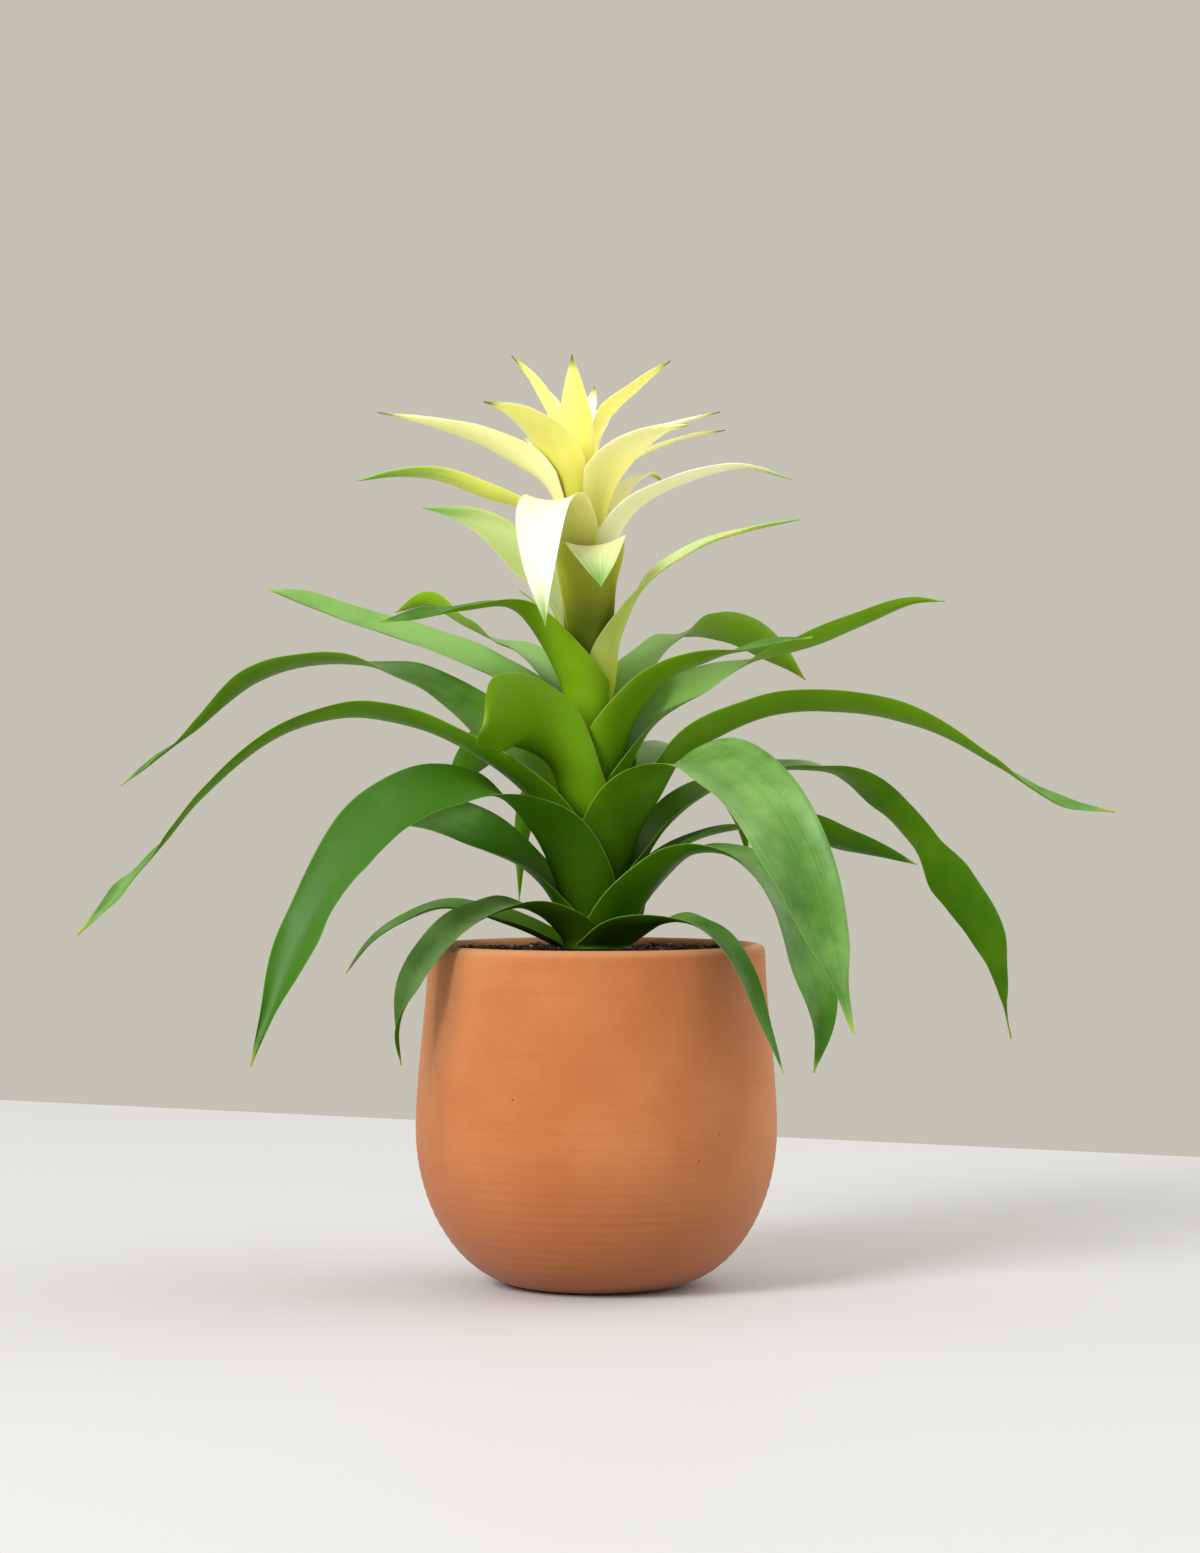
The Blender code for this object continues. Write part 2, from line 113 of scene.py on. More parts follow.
def linear(code: str) -> tuple[float, float, float, float]:
    """Turn an sRGB hex colour into linear light.

    Args:
        code: the colour as "#RRGGBB".

    Returns:
        Linear red, green, blue and an alpha of 1.
    """
    def channel(value: int) -> float:
        """One channel, from its 8-bit value to linear light."""
        share = value / 255.0
        return share / 12.92 if share <= 0.04045 else ((share + 0.055) / 1.055) ** 2.4

    red, green, blue = (channel(int(code[place:place + 2], 16)) for place in (1, 3, 5))
    return red, green, blue, 1.0


def add_node(tree: bpy.types.NodeTree, kind: str, settings: Optional[dict[str, Any]] = None,
             inputs: Optional[dict[Union[str, int], Value]] = None) -> bpy.types.Node:
    """Add a node to a tree with its settings and links.

    Args:
        tree: the node tree.
        kind: the node's Blender type.
        settings: properties of the node.
        inputs: what goes into each input, by name or index: a socket, a node (its first output) or a value.

    Returns:
        The new node.
    """
    node = tree.nodes.new(kind)
    for name, value in (settings or {}).items():
        setattr(node, name, value)
    for key, value in (inputs or {}).items():
        if isinstance(value, bpy.types.Node):
            value = value.outputs[0]
        if isinstance(value, bpy.types.NodeSocket):
            tree.links.new(value, node.inputs[key])
        else:
            node.inputs[key].default_value = value
    return node


# ---------------------------------------- finishes


class Finish:
    """A named material with its own nodes. Subclasses fill the tree in paint()."""

    name: str

    def build(self) -> bpy.types.Material:
        """Make the material and its nodes.

        Returns:
            The material.
        """
        material = bpy.data.materials.new(self.name)
        material.use_nodes = True
        tree = material.node_tree
        tree.nodes.clear()
        add = partial(add_node, tree)
        shader = add("ShaderNodeBsdfPrincipled")
        add("ShaderNodeOutputMaterial", inputs={"Surface": shader.outputs["BSDF"]})
        self.paint(tree, shader)
        return material

    def paint(self, tree: bpy.types.NodeTree, shader: bpy.types.Node) -> None:
        """Fill the tree.

        Args:
            tree: the material's tree.
            shader: its Principled node.
        """
        raise NotImplementedError

    @staticmethod
    def lengthwise(add: Adder, marks: dict[str, Value], across: float, along: float) -> bpy.types.Node:
        """Fine veins that run the length of a blade.

        Args:
            add: adds a node to the material.
            marks: the blade's own marks.
            across: how often the pattern changes from the midrib to the margin.
            along: how often it changes from the foot to the tip.

        Returns:
            The pattern's node.
        """
        wide = add(MATH, TIMES, {0: marks["across"], 1: across})
        long = add(MATH, TIMES, {0: marks["along"], 1: along})
        run = add("ShaderNodeCombineXYZ", inputs={0: wide, 1: long, 2: marks["seed"]})
        return add(NOISE, inputs={"Vector": run, "Scale": 1.0, "Detail": 1.0, "Roughness": 0.5})

    @staticmethod
    def dots(add: Adder, place: Value, scale: float, bare: float, size: tuple[float, float],
             strength: float) -> bpy.types.Node:
        """Sparse round dots.

        Args:
            add: adds a node to the material.
            place: the surface's place.
            scale: cells to the metre; each holds one dot at most.
            bare: the share of cells that hold none.
            size: how far from its middle a dot starts to fade and how far it reaches, in cells.
            strength: the value at a dot's middle.

        Returns:
            The node of the pattern, which is 0 outside the dots.
        """
        cells = add("ShaderNodeTexVoronoi", {}, {"Vector": place, "Scale": scale})
        chosen = add("ShaderNodeSeparateColor", inputs={0: cells.outputs["Color"]})
        rare = add(MATH, ABOVE, {0: chosen.outputs[0], 1: bare})
        near = add(RANGE, {}, {"Value": cells.outputs["Distance"], "From Min": size[0], "From Max": size[1],
                               "To Min": strength, "To Max": 0.0})
        return add(MATH, TIMES, {0: rare, 1: near})


@dataclass(frozen=True)
class ThrownTerracotta(Finish):
    """Unglazed terracotta, thrown and fired: dry and matt, mottled, with darker streaks and pinholes."""

    name: str = "terracotta_thrown_unglazed"
    light: str = "#BC7845"
    body: str = "#AF6633"
    deep: str = "#9F572C"
    low: str = "#92502A"
    pinhole: str = "#6B3318"
    bloom: str = "#C38B62"
    patch_scale: float = 14.0       # patches about 70 mm wide
    streak_scale: float = 420.0     # streaks a little over 2 mm high
    streak_squeeze: float = 0.05    # and twenty times as long
    tooth_scale: float = 900.0      # a tooth of about 1 mm, coarser than the real one so that it shows
    pinhole_scale: float = 130.0    # cells about 8 mm wide, of which one in twenty has a pinhole
    foot_shade_height: float = 75.0 * MM  # the painted shade at the foot fades out here
    rim_heights: tuple[float, float] = (128.5 * MM, 131.5 * MM)

    def paint(self, tree: bpy.types.NodeTree, shader: bpy.types.Node) -> None:
        """Mottled clay, level streaks from the wheel, sparse pinholes, a fine tooth and painted shade towards
        the foot.

        Args:
            tree: the material's tree.
            shader: its Principled node.
        """
        add = partial(add_node, tree)
        place = add("ShaderNodeTexCoord").outputs["Object"]
        height = add("ShaderNodeSeparateXYZ", inputs={0: place}).outputs["Z"]
        patch = add(NOISE, inputs={"Vector": place, "Scale": self.patch_scale, "Detail": 4.0,
                                   "Roughness": 0.55})
        squeezed = add(VECTOR_MATH, TIMES, {0: place, 1: (self.streak_squeeze, self.streak_squeeze, 1.0)})
        streak = add(NOISE, inputs={"Vector": squeezed, "Scale": self.streak_scale, "Detail": 3.0,
                                    "Roughness": 0.6})
        grain = add(NOISE, inputs={"Vector": place, "Scale": self.tooth_scale, "Detail": 2.0,
                                   "Roughness": 0.7})
        hole = self.dots(add, place, self.pinhole_scale, bare=0.95, size=(0.04, 0.08), strength=1.0)
        patches = add(RANGE, EASED, {"Value": patch.outputs["Fac"], "From Min": 0.35, "From Max": 0.68})
        streaks = add(RANGE, {}, {"Value": streak.outputs["Fac"], "From Min": 0.50, "From Max": 0.80,
                                  "To Max": 0.22})
        dust = add(RANGE, {}, {"Value": grain.outputs["Fac"], "From Min": 0.45, "From Max": 0.75,
                               "To Max": 0.12})
        # painted shade: the clay darkens towards the foot
        painted_foot_shade = add(RANGE, EASED, {"Value": height, "From Min": self.foot_shade_height, "From Max": 0.0,
                                  "To Max": 0.75})
        low, high = self.rim_heights
        rim = add(RANGE, EASED, {"Value": height, "From Min": low, "From Max": high, "To Max": 0.6})
        holes = add(MATH, TIMES, {0: hole, 1: 0.75})
        colour = linear(self.body)
        for share, code in ((patches, self.light), (streaks, self.deep), (dust, self.bloom), (painted_foot_shade, self.low),
                            (rim, self.bloom), (holes, self.pinhole)):
            colour = add(MIX, COLOURS, {SHARE: share, FIRST: colour, SECOND: linear(code)}).outputs[MIXED]
        tree.links.new(colour, shader.inputs["Base Color"])
        rough = add(RANGE, {}, {"Value": patch.outputs["Fac"], "To Min": 0.72, "To Max": 0.92})
        tree.links.new(rough.outputs[0], shader.inputs["Roughness"])
        shader.inputs["Specular IOR Level"].default_value = 0.35
        shader.inputs["Sheen Weight"].default_value = 0.10
        shader.inputs["Sheen Roughness"].default_value = 0.5
        relief = add(MATH, TIMES_PLUS, {0: streak.outputs["Fac"], 1: 0.6, 2: grain.outputs["Fac"]})
        relief = add(MATH, MINUS, {0: relief, 1: hole})
        bump = add("ShaderNodeBump", {}, {"Strength": 0.35, "Distance": 0.25 * MM, "Height": relief})
        tree.links.new(bump.outputs[0], shader.inputs["Normal"])


@dataclass(frozen=True)
class Crumb(Finish):
    """A loose grain of the potting mix: bark, peat or perlite, dry and dusty."""

    name: str
    dark: str
    pale: str
    grain_scale: float = 900.0      # specks about 1 mm wide
    roughness: float = 0.92

    def paint(self, tree: bpy.types.NodeTree, shader: bpy.types.Node) -> None:
        """Two tones, mixed by a grain of the given scale, with a rough skin.

        Args:
            tree: the material's tree.
            shader: its Principled node.
        """
        add = partial(add_node, tree)
        place = add("ShaderNodeTexCoord").outputs["Object"]
        grain = add(NOISE, inputs={"Vector": place, "Scale": self.grain_scale, "Detail": 3.0,
                                   "Roughness": 0.65})
        share = add(RANGE, {}, {"Value": grain.outputs["Fac"], "From Min": 0.42, "From Max": 0.70})
        colour = add(MIX, COLOURS, {SHARE: share, FIRST: linear(self.dark), SECOND: linear(self.pale)})
        tree.links.new(colour.outputs[MIXED], shader.inputs["Base Color"])
        shader.inputs["Roughness"].default_value = self.roughness
        bump = add("ShaderNodeBump", {}, {"Strength": 0.6, "Distance": 0.4 * MM,
                                          "Height": grain.outputs["Fac"]})
        tree.links.new(bump.outputs[0], shader.inputs["Normal"])


@dataclass(frozen=True)
class LivingLeaf(Finish):
    """Living strap leaf: waxy skin, a pale bloom above that is partly painted sheen, clear green below, fine
    lengthwise veins.

    The wax is a coat, which lies on the upper face only. It starts above the sheath and wears off to the tip.
    """

    name: str = "bromeliad_leaf_waxy_living"
    upper: str = "#376812"
    upper_bloom_and_sheen: str = "#80AC5A"
    upper_vein: str = "#33611A"
    under: str = "#5A8A0A"
    under_deep: str = "#3A6A04"
    under_young: str = "#84AC14"
    sheath: str = "#335203"
    axil_painted_glow: str = "#6A9A10"
    margin: str = "#8DB050"
    tip: str = "#9DB83C"
    speck: str = "#7A5A24"
    bloom_and_sheen_scale: float = 46.0       # patches of bloom and painted sheen about 22 mm wide
    speck_scale: float = 70.0       # cells about 14 mm wide, of which one in ten has a speck

    def paint(self, tree: bpy.types.NodeTree, shader: bpy.types.Node) -> None:
        """Tell the faces apart, streak them, paint sheen, shade and the axils' glow, pale the margin and tip.

        Args:
            tree: the material's tree.
            shader: its Principled node.
        """
        add = partial(add_node, tree)
        marks = {name: add(ATTRIBUTE, {"attribute_name": name}).outputs["Fac"]
                 for name in ("along", "across", "layer", "tone", "seed", "youth")}
        along, youth = marks["along"], marks["youth"]
        place = add("ShaderNodeTexCoord").outputs["Object"]
        veins = self.lengthwise(add, marks, across=16.0, along=2.5)
        patch = add(NOISE, inputs={"Vector": place, "Scale": self.bloom_and_sheen_scale, "Detail": 3.0,
                                   "Roughness": 0.55})
        # The two faces, the upper one paled partly by painted sheen.
        mixed = add(MATH, TIMES_PLUS, {0: veins.outputs["Fac"], 1: 0.14, 2: marks["tone"]})
        mixed = add(MATH, TIMES_PLUS, {0: patch.outputs["Fac"], 1: 1.0, 2: mixed})
        # painted shade: the paler share fades towards the hanging tip
        painted_tip_shade = add(RANGE, EASED, {"Value": along, "From Min": 0.50, "From Max": 0.85, "To Max": 0.15})
        mixed = add(MATH, MINUS, {0: mixed, 1: painted_tip_shade})
        share = add(RANGE, EASED, {"Value": mixed, "From Min": 0.20, "From Max": 1.05})
        # painted sheen: the upper face pales with tone, patches and veins, partly its real wax bloom
        upper = add(MIX, COLOURS, {SHARE: share, FIRST: linear(self.upper), SECOND: linear(self.upper_bloom_and_sheen)})
        ribs = add(RANGE, {}, {"Value": veins.outputs["Fac"], "From Min": 0.50, "From Max": 0.30,
                               "To Max": 0.10})
        upper = add(MIX, COLOURS, {SHARE: ribs, FIRST: upper.outputs[MIXED], SECOND: linear(self.upper_vein)})
        under = add(MIX, COLOURS, {SHARE: share, FIRST: linear(self.under_deep), SECOND: linear(self.under)})
        young = add(RANGE, {}, {"Value": youth, "From Min": 0.45, "From Max": 1.0, "To Max": 0.6})
        under = add(MIX, COLOURS, {SHARE: young, FIRST: under.outputs[MIXED],
                                   SECOND: linear(self.under_young)})
        face = add(RANGE, {}, {"Value": marks["layer"], "From Min": -0.12, "From Max": 0.12})
        colour = add(MIX, COLOURS, {SHARE: face, FIRST: under.outputs[MIXED],
                                    SECOND: upper.outputs[MIXED]}).outputs[MIXED]
        # What lies over both: the sheath's dark green with painted shade, a painted glow in the axils, the
        # pale margin and tip, and specks.
        # the sheath's own dark green mixed with painted shade of the crowded core, stronger on the lower,
        # older leaves
        sheath_dark_and_shade = add(RANGE, {}, {"Value": youth, "From Min": 0.5, "From Max": 1.0, "To Min": 0.85,
                              "To Max": 0.15})
        foot = add(RANGE, EASED, {"Value": along, "From Min": 0.30, "From Max": 0.04, "To Max": sheath_dark_and_shade})
        # painted glow: the upper face turns bright yellow-green in the axils, where light shines through
        inner = add(RANGE, EASED, {"Value": along, "From Min": 0.42, "From Max": 0.10, "To Max": 0.85})
        inner = add(MATH, TIMES, {0: inner, 1: face})
        side = add(MATH, {"operation": "ABSOLUTE"}, {0: marks["across"]})
        edge = add(RANGE, {}, {"Value": side, "From Min": 0.97, "From Max": 0.998, "To Max": 0.55})
        end = add(RANGE, EASED, {"Value": along, "From Min": 0.955, "From Max": 1.0, "To Max": 0.7})
        spot = self.dots(add, place, self.speck_scale, bare=0.9, size=(0.05, 0.09), strength=0.55)
        for share, code in ((foot, self.sheath), (inner, self.axil_painted_glow), (edge, self.margin), (end, self.tip),
                            (spot, self.speck)):
            colour = add(MIX, COLOURS, {SHARE: share, FIRST: colour, SECOND: linear(code)}).outputs[MIXED]
        tree.links.new(colour, shader.inputs["Base Color"])
        # The skin and its wax.
        rough = add(RANGE, {}, {"Value": patch.outputs["Fac"], "From Min": 0.3, "From Max": 0.7,
                                "To Min": 0.38, "To Max": 0.52})
        tree.links.new(rough.outputs[0], shader.inputs["Roughness"])
        shader.inputs["IOR"].default_value = 1.45
        shader.inputs["Specular IOR Level"].default_value = 0.08
        waxed = add(RANGE, EASED, {"Value": along, "From Min": 0.15, "From Max": 0.45})
        worn = add(RANGE, EASED, {"Value": along, "From Min": 0.60, "From Max": 0.85, "To Min": 1.0,
                                  "To Max": 0.35})
        waxed = add(MATH, TIMES, {0: waxed, 1: worn})
        waxed = add(MATH, TIMES, {0: waxed, 1: face})
        fresh = add(RANGE, {}, {"Value": youth, "From Max": 0.6, "To Min": 0.29, "To Max": 0.56})
        wax = add(MATH, TIMES, {0: waxed, 1: fresh})
        tree.links.new(wax.outputs[0], shader.inputs["Coat Weight"])
        shader.inputs["Coat Roughness"].default_value = 0.42
        bump = add("ShaderNodeBump", {}, {**VEIN_RELIEF, "Height": veins.outputs["Fac"]})
        for name in ("Normal", "Coat Normal"):
            tree.links.new(bump.outputs[0], shader.inputs[name])


@dataclass(frozen=True)
class LivingBract(Finish):
    """Living flower bract: satin skin, olive at the foot, yellow to cream along it, a coloured tip.

    Light sinks a couple of millimetres into it, which softens its shading. The satin is a coat, and fades out
    over the olive foot.
    """

    name: str = "bromeliad_bract_satin_living"
    cream: str = "#FFFCD8"
    yellow: str = "#FFF678"
    olive: str = "#B0B426"
    olive_deep: str = "#566A06"
    green: str = "#609C34"
    brown: str = "#5A3A1C"
    fray_scale: float = 60.0        # the olive's upper edge wanders over about 17 mm
    glow_depth: float = 2.0 * MM
    glow_reach: tuple[float, float, float] = (1.0, 0.9, 0.45)   # red, green and blue, as shares of the depth

    def paint(self, tree: bpy.types.NodeTree, shader: bpy.types.Node) -> None:
        """Run olive into yellow and cream by the piece's own marks, then colour the tip.

        Args:
            tree: the material's tree.
            shader: its Principled node.
        """
        add = partial(add_node, tree)
        marks = {name: add(ATTRIBUTE, {"attribute_name": name}).outputs["Fac"]
                 for name in ("along", "across", "layer", "tone", "seed", "olive_end", "tip_start",
                              "brown_tip", "greenness", "olive_depth")}
        place = add("ShaderNodeTexCoord").outputs["Object"]
        veins = self.lengthwise(add, marks, across=8.0, along=2.0)
        patch = add(NOISE, inputs={"Vector": place, "Scale": self.fray_scale, "Detail": 2.0,
                                   "Roughness": 0.5})
        # Yellow, creamier on the inner face.
        face = add(RANGE, {}, {"Value": marks["layer"], "From Min": -0.15, "From Max": 0.15, "To Min": 0.0,
                               "To Max": 0.55})
        pale = add(MATH, PLUS, {0: face, 1: marks["tone"]})
        pale = add(MATH, TIMES_PLUS, {0: veins.outputs["Fac"], 1: 0.35, 2: pale})
        creamy = add(RANGE, {}, {"Value": pale, "From Min": 0.10, "From Max": 0.90})
        # The olive foot, which the turned-out inner face of the lowest bracts doesn't show.
        ragged = add(MATH, TIMES_PLUS, {0: patch.outputs["Fac"], 1: 0.16, 2: marks["along"]})
        olive_from = add(MATH, PLUS, {0: marks["olive_end"], 1: 0.22})
        foot = add(RANGE, EASED, {"Value": ragged, "From Min": olive_from, "From Max": 0.08})
        low = add(RANGE, {}, {"Value": marks["along"], "From Min": 0.34, "From Max": 0.58, "To Min": 1.0,
                              "To Max": 0.25})
        depth = add(MATH, TIMES, {0: marks["olive_depth"], 1: low})
        olive = add(MIX, COLOURS, {SHARE: depth, FIRST: linear(self.olive), SECOND: linear(self.olive_deep)})
        fold = add(MATH, TIMES, {0: face, 1: marks["olive_depth"]})
        shown = add(MATH, TIMES_PLUS, {0: fold, 1: -1.7, 2: 1.0})
        foot = add(MATH, TIMES, {0: foot, 1: shown})
        # The tip, green and then scorched brown.
        frayed = add(MATH, TIMES_PLUS, {0: veins.outputs["Fac"], 1: 0.14, 2: marks["along"]})
        end = add(RANGE, EASED, {"Value": frayed, "From Min": marks["tip_start"], "From Max": 1.08})
        scorch = add(RANGE, EASED, {"Value": frayed, "From Min": 0.99, "From Max": 1.08})
        scorch = add(MATH, TIMES, {0: scorch, 1: marks["brown_tip"]})
        colour = linear(self.yellow)
        for share, over in ((creamy, linear(self.cream)), (marks["greenness"], linear(self.green)),
                            (foot, olive.outputs[MIXED]), (end, linear(self.green)),
                            (scorch, linear(self.brown))):
            colour = add(MIX, COLOURS, {SHARE: share, FIRST: colour, SECOND: over}).outputs[MIXED]
        tree.links.new(colour, shader.inputs["Base Color"])
        shader.inputs["Roughness"].default_value = 0.45
        shader.inputs["Subsurface Weight"].default_value = 0.6
        shader.inputs["Subsurface Radius"].default_value = self.glow_reach
        shader.inputs["Subsurface Scale"].default_value = self.glow_depth
        shader.inputs["Specular IOR Level"].default_value = 0.06
        satin = add(RANGE, {}, {"Value": foot, "To Min": 0.48, "To Max": 0.0})
        tree.links.new(satin.outputs[0], shader.inputs["Coat Weight"])
        shader.inputs["Coat Roughness"].default_value = 0.45
        bump = add("ShaderNodeBump", {}, {**VEIN_RELIEF, "Height": veins.outputs["Fac"]})
        for name in ("Normal", "Coat Normal"):
            tree.links.new(bump.outputs[0], shader.inputs[name])


@dataclass(frozen=True)
class StalkSkin(Finish):
    """Smooth green stalk skin, a little paler upwards."""

    name: str = "bromeliad_stalk_skin_living"
    foot: str = "#4C7A1E"
    top: str = "#9DA83A"
    fibre_scale: float = 700.0      # fibres about 1.5 mm wide
    fibre_stretch: float = 0.06     # and seventeen times as long

    def paint(self, tree: bpy.types.NodeTree, shader: bpy.types.Node) -> None:
        """Green to olive with height, with faint lengthwise fibres.

        Args:
            tree: the material's tree.
            shader: its Principled node.
        """
        add = partial(add_node, tree)
        place = add("ShaderNodeTexCoord").outputs["Object"]
        height = add("ShaderNodeSeparateXYZ", inputs={0: place}).outputs["Z"]
        rise = add(RANGE, {}, {"Value": height, "From Min": MIX_TOP, "From Max": MIX_TOP + STEM_HEIGHT})
        colour = add(MIX, COLOURS, {SHARE: rise, FIRST: linear(self.foot), SECOND: linear(self.top)})
        tree.links.new(colour.outputs[MIXED], shader.inputs["Base Color"])
        stretched = add(VECTOR_MATH, TIMES, {0: place, 1: (1.0, 1.0, self.fibre_stretch)})
        fibre = add(NOISE, inputs={"Vector": stretched, "Scale": self.fibre_scale, "Detail": 2.0})
        bump = add("ShaderNodeBump", {}, {"Strength": 0.4, "Distance": 0.3 * MM,
                                          "Height": fibre.outputs["Fac"]})
        tree.links.new(bump.outputs[0], shader.inputs["Normal"])
        shader.inputs["Roughness"].default_value = 0.5


@dataclass(frozen=True)
class PaintedTable(Finish):
    """A plain, pale, satin-painted table top."""

    name: str = "tabletop_painted_pale"
    colour: str = "#D0D0D3"

    def paint(self, tree: bpy.types.NodeTree, shader: bpy.types.Node) -> None:
        """One even pale colour with a soft satin sheen."""
        shader.inputs["Base Color"].default_value = linear(self.colour)
        shader.inputs["Roughness"].default_value = 0.6


# ---------------------------------------- node-made meshes


class Tool:
    """A geometry-node tree with named inputs, used as a modifier and then turned into a plain mesh."""

    def __init__(self, name: str, inputs: Sequence[tuple[str, str]]) -> None:
        """Start the tree.

        Args:
            name: the tree's name.
            inputs: the (name, socket type) of each input after the geometry.
        """
        self.tree = bpy.data.node_groups.new(name, "GeometryNodeTree")
        self.tree.interface.new_socket("Geometry", in_out="INPUT", socket_type="NodeSocketGeometry")
        for label, kind in inputs:
            self.tree.interface.new_socket(label, in_out="INPUT", socket_type=kind)
        self.tree.interface.new_socket("Geometry", in_out="OUTPUT", socket_type="NodeSocketGeometry")
        self.add = partial(add_node, self.tree)
        self.entry = self.add("NodeGroupInput")
        self.exit = self.add("NodeGroupOutput")

    def given(self, name: str) -> bpy.types.NodeSocket:
        """The socket of one of the tree's named inputs."""
        return self.entry.outputs[name]

    def capture(self, geometry: Value, items: dict[str, tuple[str, Value]]) -> bpy.types.Node:
        """Keep fields as they are at this stage of the geometry.

        Args:
            geometry: the geometry socket.
            items: for each name, its kind and the field.

        Returns:
            The node, with the geometry and the kept fields as outputs.
        """
        node = self.add("GeometryNodeCaptureAttribute")
        for name, (kind, value) in items.items():
            node.capture_items.new(kind, name)
        self.tree.links.new(geometry, node.inputs["Geometry"])
        for name, (kind, value) in items.items():
            source = value.outputs[0] if isinstance(value, bpy.types.Node) else value
            self.tree.links.new(source, node.inputs[name])
        return node

    def end(self, geometry: Value, finish: Value, smooth: bool = True) -> None:
        """Finish the tree: shade, make instances real and give the material.

        Args:
            geometry: the geometry socket.
            finish: the material, or the socket of the input that holds it.
            smooth: whether faces are shaded smooth.
        """
        shaded = self.add("GeometryNodeSetShadeSmooth", {}, {"Geometry": geometry, "Shade Smooth": smooth})
        real = self.add("GeometryNodeRealizeInstances", {}, {"Geometry": shaded})
        dressed = self.add("GeometryNodeSetMaterial", {}, {"Geometry": real, "Material": finish})
        self.tree.links.new(dressed.outputs[0], self.exit.inputs[0])

    def run(self, name: str, start: bpy.types.Mesh, values: dict[str, Any],
            material: bpy.types.Material) -> bpy.types.Object:
        """Run the tree on a mesh and keep the result as a plain mesh object.

        Args:
            name: the new object's name.
            start: the mesh that the tree starts from.
            values: what goes into the named inputs.
            material: the finish of the result.

        Returns:
            The new object, at the origin, with no modifier.
        """
        draft = bpy.data.objects.new(name + "_draft", start)
        bpy.context.scene.collection.objects.link(draft)
        modifier = draft.modifiers.new("Shape", "NODES")
        modifier.node_group = self.tree
        sockets = {item.name: item.identifier for item in self.tree.interface.items_tree
                   if item.item_type == "SOCKET" and item.in_out == "INPUT"}
        for label, value in values.items():
            modifier[sockets[label]] = value
        graph = bpy.context.evaluated_depsgraph_get()
        mesh = bpy.data.meshes.new_from_object(draft.evaluated_get(graph), preserve_all_data_layers=True,
                                               depsgraph=graph)
        draft.modifiers.clear()
        bpy.data.objects.remove(draft)
        bpy.data.meshes.remove(start)
        mesh.name = name
        item = bpy.data.objects.new(name, mesh)
        bpy.context.scene.collection.objects.link(item)
        if not mesh.materials:
            mesh.materials.append(material)
        return item


def line_mesh(name: str, points: Iterable[Sequence[float]], marks: Optional[dict[str, list]] = None
              ) -> bpy.types.Mesh:
    """A chain of edges through points, with a value of each mark at each point.

    Args:
        name: the mesh's name.
        points: the points, in order.
        marks: for each attribute, its value at each point: numbers or vectors.

    Returns:
        The mesh.
    """
    points = [tuple(point) for point in points]
    mesh = bpy.data.meshes.new(name)
    mesh.from_pydata(points, [(place, place + 1) for place in range(len(points) - 1)], [])
    for label, values in (marks or {}).items():
        if isinstance(values[0], (float, int)):
            layer = mesh.attributes.new(label, "FLOAT", "POINT")
            layer.data.foreach_set("value", [float(value) for value in values])
        else:
            layer = mesh.attributes.new(label, "FLOAT_VECTOR", "POINT")
            layer.data.foreach_set("vector", [part for value in values for part in value])
    return mesh


